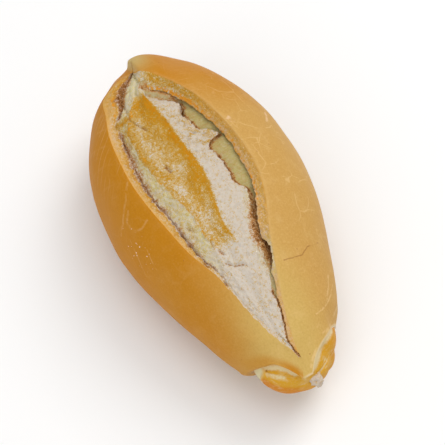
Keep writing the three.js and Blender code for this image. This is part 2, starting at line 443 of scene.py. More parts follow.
@dataclass(frozen=True)
class SlashForm:
    """The opening and the crumb that has risen in it, in millimetres.

    Attributes:
        far: Station of its far end.
        tip: Station of its near end.
        left_edge: Place of the left crust edge across the roll.
        crevice: Place of the middle of the left crevice.
        crevice_half: Half the width of that crevice.
        shoulder: Place of the plateau's left edge.
        crest: Place of the plateau's right edge, which stands highest.
        torn: Place of the torn edge of the crumb.
        right_lip: Place of the lower edge of the right cut.
        right_edge: Place of the right crust edge.
        edge_fray: How ragged the left crust edge is. The frays after it are those of the crevice's
            width and middle, its lip and foot, the shoulder, the crest, the torn edge and the right lip.
        teeth: Notches of the right lip.
        depth_left_cut: Depth of the left cut below the dome. The depths after it are those of the
            crevice and its foot, the shoulder, the valley behind it, the crest, the torn edge, the
            floor and the root of the gap, and the right cut.
        sheet_depths: Depths of the smooth sheet at the far end, from the crevice's foot to the right lip.
        gap_reach: How far the gap runs in under the right crust.
    """

    far: float = -61.0
    tip: float = 56.4
    left_edge: Track = Track(
        ((-66, -2), (-56.5, -4.4), (-54.6, -10.5), (-52, -16.4), (-44, -19.6), (-33, -22.6), (-21, -23.5),
         (-8, -22.9), (4, -20.9), (14, -18.4), (26, -13.5), (37, -10.5), (46.3, -7.2), (56.2, -2.2),
         (62, -4.2))
    )
    crevice: Track = Track(
        ((-66, -1.7), (-57, -4.3), (-53, -7.8), (-48.5, -11.9), (-43.5, -14.4), (-39.3, -17.4), (-26, -19.6),
         (-11, -20), (0, -18.4), (14, -16.1), (24.3, -12.6), (37, -9.8), (56.2, -2.15), (62, -3.6))
    )
    crevice_half: Track = Track(
        ((-60, 0.2), (-53, 1.1), (-50, 1.7), (-46, 1.1), (-43, 0.65), (-38, 0.45), (-33, 0.5), (-28, 0.75),
         (-14, 0.72), (10, 0.6), (26, 0.3), (56, 0.05))
    )
    shoulder: Track = Track(
        ((-66, -1.4), (-55, -5.2), (-47, -8.2), (-41, -11.6), (-34.5, -16), (-26, -16.9), (-15.8, -16.5),
         (-6, -14.8), (3, -12.6), (18.7, -10.9), (34, -8.2), (46, -6), (51, -4.4), (56, -2.3), (62, -3))
    )
    crest: Track = Track(
        ((-66, -1.1), (-55, -4.8), (-46, -6.4), (-38.7, -5.9), (-22.9, -4.4), (-11.7, -3.3), (-2.5, -3.2),
         (3.8, -4.4), (10.5, -5.2), (18, -4.2), (34, -4.6), (46, -4.6), (51, -3.9), (56, -2.1), (62, -2))
    )
    torn: Track = Track(
        ((-66, -0.7), (-54, -4.5), (-46, -5.3), (-43.5, -4.6), (-41.3, -3), (-39.4, -1), (-37.6, 1.2),
         (-35.3, 3), (-33, 2.4), (-31.3, 1.9), (-27, 2.6), (-23.5, 4.5), (-21.5, 7.4), (-19, 8.6),
         (-17.6, 5), (-15.6, 4), (-11.2, 4.9), (-3.5, 5.1), (-0.6, 5), (1.6, 7), (5.2, 7.2), (8.5, 5.7),
         (11.5, 4.8), (15.5, 3.8), (18.4, 3.7), (21, 2.8), (27.6, 1.3), (30.2, 1.1), (34.3, -0.5),
         (36.7, -1.2), (38, -0.8), (41, -1.2), (44.3, -1.9), (47.5, -2.7), (50.6, -3.4), (53.4, -2.8),
         (55, -1.75), (62, -0.8))
    )
    right_lip: Track = Track(
        ((-66, -0.4), (-54, -4.4), (-47, -5), (-45, -2.8), (-43.1, -0.3), (-40.5, 2), (-37, 3.9),
         (-33.3, 5.7), (-24.6, 8.6), (-17.3, 10.4), (-9.7, 10.8), (-1.3, 10.6), (5.3, 9.1), (11.6, 6.6),
         (15.7, 5.1), (18.3, 4.3), (20.5, 4.5), (23, 4.9), (26, 4.1), (28.8, 2.7), (30.2, 1.5), (32, 1.4),
         (35, 0.7), (37.5, -0.3), (41, -0.9), (44.3, -1.6), (47.5, -2.4), (50.6, -3.1), (53.4, -2.5),
         (55, -1.6), (62, -0.3))
    )
    right_edge: Track = Track(
        ((-66, 0), (-57, -4), (-54.1, -4.3), (-50, -0.6), (-41.9, 4.5), (-31.6, 9.5), (-22.7, 12),
         (-10.1, 13.7), (-1, 13.4), (7.8, 11.4), (17.1, 7.7), (26.1, 4.4), (38.3, 0.9), (43.3, -0.3),
         (47.7, -1.1), (51.6, -1.7), (56.2, -1.5), (62, 0.2))
    )
    edge_fray: Fray = Fray(((0.4, Grain(1.9, 14.2, 3)),))
    width_fray: Fray = Fray(((0.8, Grain(2.4, 2.9, 2)), (0.7, Grain(0.9, 12.9, 2))))
    crevice_fray: Fray = Fray(((0.35, Grain(7.0, 6.1, 2)),))
    lip_fray: Fray = Fray(((0.45, Grain(1.4, 3.1, 2)), (0.3, Grain(5.0, 8.2, 2))))
    foot_fray: Fray = Fray(((0.35, Grain(2.2, 5.7, 2)), (0.35, Grain(0.9, 2.6, 2))))
    shoulder_fray: Fray = Fray(((0.5, Grain(2.6, 1.3, 3)), (0.5, Grain(9.0, 2.2, 2))))
    crest_fray: Fray = Fray(((0.28, Grain(1.8, 7.7, 3)), (0.5, Grain(8.0, 4.1, 2))))
    torn_fray: Fray = Fray(((0.65, Grain(2.0, 9.3, 3)), (0.6, Grain(0.9, 6.6, 2))))
    right_fray: Fray = Fray(((0.4, Grain(1.4, 4.4, 3)), (0.25, Grain(4.0, 1.9, 2))))
    teeth: Fray = Fray(((0.6, Grain(1.3, 24.4, 2)),))
    depth_left_cut: float = 2.0
    depth_crevice: float = 4.7
    depth_foot: float = 3.7
    depth_shoulder: float = 2.3
    depth_valley: float = 3.2
    depth_crest: float = 1.6
    depth_torn: float = 4.3
    depth_floor: float = 5.9
    depth_root: float = 3.9
    depth_right_cut: float = 3.2
    sheet_depths: tuple[float, ...] = (3.0, 2.6, 2.3, 2.1, 1.9, 1.8, 1.7, 1.5)
    gap_reach: float = 1.5

    def openness(self, x: np.ndarray) -> np.ndarray:
        """How fully the slash is open at stations, 0 at its ends and 1 over the belly."""
        near = np.clip((self.tip - x) / (self.tip + 9.0), 0.0, 1.0)
        return ease(x, self.far, self.far + 11.0) * near**0.7

    def gap(self, x: np.ndarray) -> np.ndarray:
        """How far the gap under the right lip is open at stations, 0 to 1."""
        return ease(x, -48.0, -43.5) * (1 - ease(x, 25.0, 33.0))

    def untorn(self, x: np.ndarray) -> np.ndarray:
        """1 at the far end, where the dough is one smooth sheet up to the right crust edge."""
        return 1 - ease(x, -50.5, -46.0)

    def bridge(self, x: np.ndarray) -> np.ndarray:
        """1 where crumb bridges the left crevice."""
        return swell(x, -38.4, 1.9)

    def edges(self, x: np.ndarray) -> tuple[np.ndarray, np.ndarray]:
        """Places of the left and the right crust edge, the left one frayed towards the near end."""
        frayed = ease(x, 20.0, 30.0) * (1 - ease(x, 50.0, 54.0))
        return self.left_edge.at(x) + frayed * self.edge_fray.along(x), self.right_edge.at(x)

    def places(self, x: np.ndarray) -> list[np.ndarray]:
        """Places of the lines along the slash, from the left crust edge to the right one.

        Args:
            x: Stations.

        Returns:
            One line more than there are strips, each as its places across the roll.
        """
        is_open = self.openness(x)
        left, right = self.edges(x)
        width = np.maximum(right - left, 0.02)
        rag = is_open * np.minimum(width / 6.0, 1.0)
        half = self.crevice_half.at(x) * np.maximum(1 + self.width_fray.along(x), 0.12)
        middle = self.crevice.at(x) + rag * self.crevice_fray.along(x)
        lip = middle - half + rag * self.lip_fray.along(x)
        foot = middle + half + rag * self.foot_fray.along(x)
        shoulder = self.shoulder.at(x) + rag * self.shoulder_fray.along(x)
        crest = self.crest.at(x) + rag * self.crest_fray.along(x)
        torn = self.torn.at(x) + rag * self.torn_fray.along(x)
        right_lip = self.right_lip.at(x) + rag * self.right_fray.along(x)
        toothed = ease(x, -8.0, 2.0) * (1 - ease(x, 26.0, 31.0)) + ease(-x, 35.0, 39.0)
        right_lip = right_lip - toothed * np.abs(self.teeth.along(x))
        floor = blend(torn, right_lip, 0.1 + 0.5 * self._gap_ends(x))
        least = np.minimum(0.12, 0.05 * width)
        inner = [lip, middle, foot, shoulder, (shoulder + crest) / 2, crest, torn, floor, right_lip]
        inner = self._in_order(inner, left + least, right - least, least)
        reach = self.gap_reach * self.gap(x) * (1 - 0.6 * ease(-x, 36.0, 42.0))
        undercut = np.minimum(2 * is_open, 1.0) * (1 - self.untorn(x))
        root = blend((inner[-2] + inner[-1]) / 2, right + reach, undercut)
        return [left, *inner[:-1], root, inner[-1], right]

    @staticmethod
    def _gap_ends(x: np.ndarray) -> np.ndarray:
        """1 towards either end of the gap, where its floor climbs, and 0 between them."""
        return ease(x, 9.0, 17.0) + ease(-x, 37.0, 41.0)

    def drops(self, x: np.ndarray, places: list[np.ndarray]) -> list[np.ndarray]:
        """Depths of the lines below the closed dome.

        Args:
            x: Stations.
            places: Places of the lines across the roll.

        Returns:
            One array for each line.
        """
        gap, far_gap = self.gap(x), ease(-x, 37.0, 41.0)
        left_cut = self.depth_left_cut * np.clip((places[1] - places[0]) / 1.5, 0.0, 1.3)
        foot = self.depth_foot * (1 - 0.45 * ease(x, 16.0, 34.0))
        crevice = self.depth_crevice * (1 - 0.8 * self.bridge(x))
        crevice = blend(crevice, foot + 0.25, ease(x, 14.0, 31.0))
        torn = self.depth_torn - 1.6 * ease(x, 24.0, 36.0) - 2.0 * ease(-x, 41.0, 46.5)
        shut_floor = torn + 0.9 * ease(x, 28.0, 36.0)
        floor = blend(shut_floor, self.depth_floor - 1.1 * self._gap_ends(x) - 0.6 * far_gap, gap)
        root = blend(floor, self.depth_root + 3.4 * ease(x, -2.0, 6.0), gap)
        right_cut = self.depth_right_cut * np.clip((places[-1] - places[-2]) / 1.8, 0.0, 1.2)
        risen = [self.depth_shoulder, self.depth_valley, self.depth_crest]
        torn_open = [0.0, left_cut, crevice, foot, *risen, torn, floor, root, right_cut, 0.0]
        sheet = [0.0, left_cut, crevice, *self.sheet_depths, 0.0]
        return [blend(a, b, self.untorn(x)) * self.openness(x) for a, b in zip(torn_open, sheet)]

    def lines(self, x: np.ndarray) -> list[Line]:
        """The lines along the slash at stations x, from the left crust edge to the right one."""
        places = self.places(x)
        return [Line(y, drop) for y, drop in zip(places, self.drops(x, places))]

    @staticmethod
    def _in_order(
        inner: list[np.ndarray], low: np.ndarray, high: np.ndarray, least: np.ndarray
    ) -> list[np.ndarray]:
        """Keeps lines from crossing.

        Args:
            inner: Places of the lines, one array each.
            low: Lowest place.
            high: Highest place.
            least: Least distance between two lines.

        Returns:
            The places, in order at every station.
        """
        placed = [np.maximum(inner[0], low)]
        for places in inner[1:]:
            placed.append(np.maximum(places, placed[-1] + least))
        placed[-1] = np.minimum(placed[-1], high)
        for i in range(len(placed) - 2, -1, -1):
            placed[i] = np.minimum(placed[i], placed[i + 1] - least)
        return placed


@dataclass(frozen=True)
class TornCrumb:
    """Relief of the torn dough, in millimetres.

    Attributes:
        cracks: Open cracks and pits, each with its depth.
        strands: Strands of dough that stand up near the torn edge, each with its height.
        pores: How many open pores the white crumb has.
        pore_seed: Which draw of pores it is.
        lumps: Noise of the coarse relief.
        crumbs: Noise of the fine relief.
        furrows: Noise of the furrows.
        pulled: Noise of the fibres that run across the slash.
        rough: Noise that pushes the torn dough sideways.
    """

    cracks: tuple[tuple[Stroke, float], ...] = (
        (Stroke(((-45.5, -12.4, 38), (-37.5, -14, 42), (-33, -12.2, 43), (-30, -10.8, 44)), 0.24, 0.5), 0.7),
        (Stroke(((-15.2, -11.8, 44), (-13, -11.2, 44)), 0.5), 1.1),
        (Stroke(((17.7, -9.8, 42), (19.2, -9, 42)), 0.4), 0.9),
        (Stroke(((22, -9.8, 41), (23.6, -7.8, 41), (24.4, -5.8, 41), (25.4, -4.4, 41)), 0.32, 0.4), 0.9),
        (Stroke(((-31, 2, 42), (-34, 2.9, 42)), 0.5), 2.2),
        (Stroke(((5.8, -15.2, 41), (8, -14.2, 41)), 0.35), 0.7),
        (Stroke(((14, -11, 43), (15.6, -11.2, 43)), 0.3), 0.6),
        (Stroke(((6.6, -17.6, 40), (8.6, -16.9, 40)), 0.5), 1.2),
        (Stroke(((10.6, -16.7, 40), (11.8, -16.4, 40)), 0.45), 1.2),
        (Stroke(((13.4, -16.1, 40), (14.8, -15.7, 40)), 0.5), 1.2),
        (Stroke(((18.4, -15.4, 40), (20.2, -15, 40)), 0.5), 1.2),
        (Stroke(((27, -12.8, 40), (28.2, -12.4, 40)), 0.4), 1.0),
        (Stroke(((36.4, -0.9, 38), (37, -0.7, 38)), 0.5), 1.0),
    )
    strands: tuple[tuple[Stroke, float], ...] = (
        (Stroke(((-24, 0.6, 45), (-21.5, 3.6, 45), (-20, 7, 44)), 0.4, 0.4), 0.7),
        (Stroke(((-21.5, 0, 46), (-19.6, 3.4, 45), (-18.8, 7.6, 43)), 0.35, 0.4), 0.8),
        (Stroke(((-18.5, 0.6, 46), (-17.6, 3.5, 45), (-18, 5.8, 44)), 0.3, 0.4), 0.6),
        (Stroke(((-28, -0.6, 45), (-26, 2, 44)), 0.35, 0.4), 0.5),
    )
    pores: int = 90
    pore_seed: int = 12
    lumps: Grain = Grain(3.6, 11.0, 2)
    crumbs: Grain = Grain(0.95, 4.0, 3)
    furrows: Grain = Grain(1.5, 27.0, 2)
    pulled: Grain = Grain(0.8, 33.0, 2)
    rough: Grain = Grain(1.1, 19.0, 2)

    def open_pores(self, slash: SlashForm) -> list[tuple[float, float, float]]:
        """Places the pores on the white crumb.

        Args:
            slash: The opening.

        Returns:
            Station, place across and half-width of each.
        """
        draw = np.random.default_rng(self.pore_seed)
        x = draw.uniform(-38.0, 50.0, self.pores)
        crest, torn = slash.crest.at(x), slash.torn.at(x)
        y = blend(crest + 0.5, torn - 0.4, draw.uniform(0.0, 1.0, self.pores))
        return list(zip(x, y, draw.uniform(0.18, 0.42, self.pores)))

    def lift(self, points: np.ndarray, across: np.ndarray, slash: SlashForm) -> np.ndarray:
        """How far the relief moves points up or down.

        Args:
            points: The slash's points.
            across: Place of each column among the strips.
            slash: The opening.

        Returns:
            Millimetres, negative for down.
        """
        strip = np.floor(across).astype(int)
        x = points[..., 0]
        lumps, crumbs, furrows = np.array([(s.lumps, s.crumbs, s.furrows) for s in Strip])[strip].T
        in_crumb = Strip.CRUMB.holds(across)
        hold = ease(np.minimum(across, len(Strip) - across), 0.0, 0.15)
        lumps = lumps * (1 - 0.7 * ease(x, 26.0, 34.0))
        up = (self.lumps.over(points) * lumps + self.crumbs.over(points) * crumbs) * hold
        up -= np.abs(self.furrows.over(points)) * furrows
        fibres = (0.2 + 0.6 * swell(x, -24.0, 12.0)) * in_crumb * hold
        up += self.pulled.over(points * PULLED) * fibres
        for crack, depth in self.cracks:
            up -= depth * crack.nearness(points, 2) * hold
        for strand, height in self.strands:
            up += height * strand.nearness(points, 2) * hold
        for station, side, size in self.open_pores(slash):
            away = np.hypot(x - station, points[..., 1] - side)
            up -= 1.6 * size * np.exp(-((away / size) ** 2)) * in_crumb
        return up


# ---- Meshes ----


def placed(name: str, data: bpy.types.ID) -> bpy.types.Object:
    """Puts a mesh, a light or a camera into the scene.

    Args:
        name: Name of the new object.
        data: The mesh, light or camera.

    Returns:
        The object.
    """
    made = bpy.data.objects.new(name, data)
    bpy.context.scene.collection.objects.link(made)
    return made


def skinned_sphere(
    name: str,
    ends: tuple[Point, Point],
    rings: np.ndarray,
    grids: dict[str, np.ndarray],
    finishes: tuple[bpy.types.Material, ...],
) -> bpy.types.Object:
    """A sphere whose rings are moved onto given sections.

    Args:
        name: Name of the new object.
        ends: Its poles, before the first section and after the last one, in millimetres.
        rings: Sections as an array of rows, columns and three coordinates, in millimetres.
        grids: What is painted on the sections, one value for each row and column, by name.
        finishes: Its materials.

    Returns:
        The object.
    """
    rows, columns = rings.shape[:2]
    bm = bmesh.new()
    bmesh.ops.create_uvsphere(bm, u_segments=columns, v_segments=rows + 1, radius=1.0)
    place = np.array([v.co for v in bm.verts])
    row = np.rint(np.arccos(np.clip(place[:, 2], -1, 1)) / math.pi * (rows + 1)).astype(int)
    column = np.rint(np.arctan2(place[:, 1], place[:, 0]) / (2 * math.pi) * columns).astype(int) % columns
    first, last = (np.tile(end, (1, columns, 1)) for end in ends)
    moved = np.concatenate([first, rings, last])[row, column]
    moved[:, 0] += STATION_ZERO
    for vert, co in zip(bm.verts, moved * MM):
        vert.co = co
    bmesh.ops.recalc_face_normals(bm, faces=bm.faces)
    mesh = bpy.data.meshes.new(name)
    bm.to_mesh(mesh)
    bm.free()
    mesh.shade_smooth()
    section = np.clip(row - 1, 0, rows - 1)
    for label, grid in grids.items():
        layer = mesh.attributes.new(label, "FLOAT", "POINT")
        layer.data.foreach_set("value", grid[section, column].astype(np.float32))
    for finish in finishes:
        mesh.materials.append(finish)
    return placed(name, mesh)


def directions(rows: int, columns: int) -> np.ndarray:
    """Directions from the middle of a sphere to its rows and columns, without its poles.

    Args:
        rows: How many rows.
        columns: How many columns.

    Returns:
        Lines of length 1, as an array of rows, columns and three coordinates.
    """
    theta = np.arange(1, rows + 1)[:, None] * math.pi / (rows + 1)
    phi = np.arange(columns)[None, :] * 2 * math.pi / columns
    flat = np.sin(theta)
    return np.stack([flat * np.cos(phi), flat * np.sin(phi), np.cos(theta) + 0 * phi], axis=-1)


# ---- Finishes ----


class Sheet:
    """A material's node tree, with short ways to add its nodes and coats of colour."""

    WAVE = 0.314  # length of one wave of the wave texture at a scale of 1, in metres
    SCATTER = (1.0, 0.6, 0.35)  # how far red, green and blue light spread in dough, against each other
    NUMBERS = ("LENGTH", "DISTANCE", "DOT_PRODUCT")  # sums on vectors that give a number

    def __init__(self, name: str, base: Shade) -> None:
        """Makes an empty material with a shader and an output.

        Args:
            name: Name of the material.
            base: Its first coat of colour.
        """
        self.material = bpy.data.materials.new(name)
        self.material.use_nodes = True
        self.tree = self.material.node_tree
        self.tree.nodes.clear()
        self.shader = self.tree.nodes.new("ShaderNodeBsdfPrincipled")
        output = self.tree.nodes.new("ShaderNodeOutputMaterial")
        self.tree.links.new(self.shader.outputs["BSDF"], output.inputs["Surface"])
        self.place = self._node("TexCoord", "Object", {})
        self.colour = base

    def _link(self, source: Value | Shade | Point, target: Socket) -> None:
        """Feeds a socket from another socket or with a constant.

        Args:
            source: The other socket or the constant.
            target: The socket that is fed.
        """
        if isinstance(source, Socket):
            self.tree.links.new(source, target)
        else:
            target.default_value = source

    def _node(
        self, kind: str, output: str | int, inputs: dict[str | int, Value | Shade], **settings: str
    ) -> Socket:
        """Adds a node.

        Args:
            kind: Its type.
            output: Which of its outputs is wanted.
            inputs: What feeds its inputs, by their names or numbers.
            settings: Its own settings.

        Returns:
            The output.
        """
        node = self.tree.nodes.new("ShaderNode" + kind)
        for name, choice in settings.items():
            setattr(node, name, choice)
        for name, source in inputs.items():
            self._link(source, node.inputs[name])
        return node.outputs[output]

    def painted(self, name: str) -> Socket:
        """The value that the mesh carries under a name."""
        return self._node("Attribute", "Fac", {}, attribute_name=name)

    def grain(
        self, size: float, detail: float = 3.0, stretch: Point = (1.0, 1.0, 1.0), turn: float = 0.0
    ) -> Socket:
        """Noise from 0 to 1.

        Args:
            size: Width of a lump, in millimetres.
            detail: How many finer layers.
            stretch: How much longer a lump is along X, Y and Z.
            turn: Angle of the stretched lumps about Z, in degrees.

        Returns:
            The noise's value.
        """
        turned = {"Rotation": (0.0, 0.0, math.radians(turn)), "Scale": tuple(1 / s for s in stretch)}
        place = self._node("Mapping", "Vector", {"Vector": self.place, **turned})
        return self._node("TexNoise", "Fac", {"Vector": place, "Scale": 1 / (size * MM), "Detail": detail})

    def cells(self, size: float, feature: str, warp: float = 0.0) -> Socket:
        """Distance in a pattern of cells.

        Args:
            size: Width of a cell, in millimetres.
            feature: F1 for the distance to a cell's middle, DISTANCE_TO_EDGE for that to its edge.
            warp: How far the pattern is pushed about, in millimetres.

        Returns:
            The distance, in cell widths.
        """
        place = self._strayed(size * 0.8, warp) if warp else self.place
        spaced = {"Vector": place, "Scale": 1 / (size * MM)}
        return self._node("TexVoronoi", "Distance", spaced, feature=feature)

    def waves(self, size: float, turn: tuple[float, float], bend: float) -> Socket:
        """Even waves that run slantwise.

        Args:
            size: Distance from crest to crest, in millimetres.
            turn: Their slant about Y and about Z, in degrees.
            bend: How much they bend.

        Returns:
            0 in the hollows and 1 on the crests.
        """
        slant = (0.0, math.radians(turn[0]), math.radians(turn[1]))
        place = self._node("Mapping", "Vector", {"Vector": self.place, "Rotation": slant})
        bent = {"Distortion": bend, "Detail": 2.0, "Detail Scale": 0.35}
        return self._node("TexWave", "Fac", {"Vector": place, "Scale": self.WAVE / (size * MM), **bent})

    def _vector(self, operation: str, a: Socket, b: Socket | Point = (0.0, 0.0, 0.0)) -> Socket:
        """A sum on two vectors.

        Args:
            operation: Name of the sum, such as ADD or LENGTH.
            a: First vector.
            b: Second vector.

        Returns:
            The result, as a vector or as a number.
        """
        output = "Value" if operation in self.NUMBERS else "Vector"
        return self._node("VectorMath", output, {0: a, 1: b}, operation=operation)

    def _strayed(self, lump: float, reach: float) -> Socket:
        """Object coordinates, pushed about by noise.

        Args:
            lump: Width of a lump of the noise, in millimetres.
            reach: How far apart it pushes places, in millimetres.

        Returns:
            The pushed coordinates.
        """
        noise = {"Vector": self.place, "Scale": 1 / (lump * MM), "Detail": 2.0}
        centred = self._vector("SUBTRACT", self._node("TexNoise", "Color", noise), (0.5, 0.5, 0.5))
        return self._vector("ADD", self.place, self._vector("MULTIPLY", centred, (reach * MM,) * 3))

    def sum(self, operation: str, a: Value, b: Value) -> Socket:
        """A sum on two values, such as ADD or MULTIPLY."""
        return self._node("Math", "Value", {0: a, 1: b}, operation=operation)

    def plus(self, a: Value, b: Value) -> Socket:
        """Adds two values."""
        return self.sum("ADD", a, b)

    def times(self, a: Value, b: Value) -> Socket:
        """Multiplies two values."""
        return self.sum("MULTIPLY", a, b)

    def spread(self, grain: Socket, strength: float) -> Socket:
        """Noise about 0 instead of about 0.5, made stronger."""
        return self.times(self.sum("SUBTRACT", grain, 0.5), strength)

    def mottled(self, name: str, mottle: Socket, strength: float, level: float = 1.0) -> Socket:
        """A painted value that noise makes uneven wherever it isn't 0.

        Args:
            name: Name of the mesh's attribute.
            mottle: Noise about 0.
            strength: How strong the noise is.
            level: What is left of the value where the noise is 0.

        Returns:
            The uneven value.
        """
        return self.times(self.painted(name), self.plus(self.times(mottle, strength), level))

    def window(self, value: Socket, low: float, high: float) -> Socket:
        """Rises smoothly from 0 where a value is at low to 1 where it is at high.

        Args:
            value: The value.
            low: Where the result is 0, above high for a result that falls.
            high: Where it is 1.

        Returns:
            The result.
        """
        span = {"Value": value, "From Min": low, "From Max": high}
        return self._node("MapRange", "Result", span, interpolation_type="SMOOTHSTEP")

    def patch(self, middle: Point, radii: Point) -> Socket:
        """1 in a soft round patch, 0 outside it.

        Args:
            middle: Station, place across and height of its middle, in millimetres.
            radii: Its radii along X, Y and Z, in millimetres.

        Returns:
            The patch's value.
        """
        offset = self._vector("SUBTRACT", self.place, in_metres(middle))
        scaled = self._vector("DIVIDE", offset, tuple(r * MM for r in radii))
        return self.window(self._vector("LENGTH", scaled), 1.0, 0.35)

    def stroke(self, stroke: Stroke) -> Socket:
        """A thin line on the surface.

        Args:
            stroke: The line.

        Returns:
            1 on the line and 0 beside it.
        """
        strayed = self._strayed(1.5, 2 * stroke.stray)
        nearest = None
        for start, stop in zip(stroke.path, stroke.path[1:]):
            span = Vector(in_metres(stop)) - Vector(in_metres(start))
            offset = self._vector("SUBTRACT", strayed, in_metres(start))
            along = self._vector("DOT_PRODUCT", offset, tuple(span / span.length_squared))
            share = self.sum("MINIMUM", self.sum("MAXIMUM", along, 0.0), 1.0)
            foot = self._node("VectorMath", "Vector", {0: tuple(span), "Scale": share}, operation="SCALE")
            away = self._vector("DISTANCE", offset, foot)
            nearest = away if nearest is None else self.sum("MINIMUM", nearest, away)
        return self.window(nearest, stroke.width * 1.4 * MM, stroke.width * 0.4 * MM)

    def coat(self, share: Socket, tone: Shade, strength: float = 1.0) -> None:
        """Lays a coat of colour over the ones before it.

        Args:
            share: Where the coat lies, from 0 to 1.
            tone: Its colour.
            strength: How much it covers there.
        """
        covered = share if strength == 1.0 else self.times(share, strength)
        self.colour = self._node("Mix", 2, {0: covered, 6: self.colour, 7: tone}, data_type="RGBA")

    def relief(self, *heights: tuple[Socket, float]) -> None:
        """Gives the surface fine relief.

        Args:
            heights: Values from 0 to 1, each with the height of its 1 in millimetres.
        """
        normal = {}
        for height, depth in heights:
            bumps = {"Height": height, "Distance": depth * MM, **normal}
            normal = {"Normal": self._node("Bump", "Normal", bumps)}
        self._link(normal["Normal"], self.shader.inputs["Normal"])

    def surface(self, roughness: Value, soft: float = 0.0, shine: float = 0.5) -> None:
        """Gives the shader the coats of colour and its other main inputs.

        Args:
            roughness: Roughness.
            soft: How much light goes into the surface and out again.
            shine: How much it reflects.
        """
        chosen = {"Base Color": self.colour, "Roughness": roughness, "Specular IOR Level": shine}
        chosen |= {"Subsurface Weight": soft, "Subsurface Scale": 1.2 * MM, "Subsurface Radius": self.SCATTER}
        for name, source in chosen.items():
            self._link(source, self.shader.inputs[name])


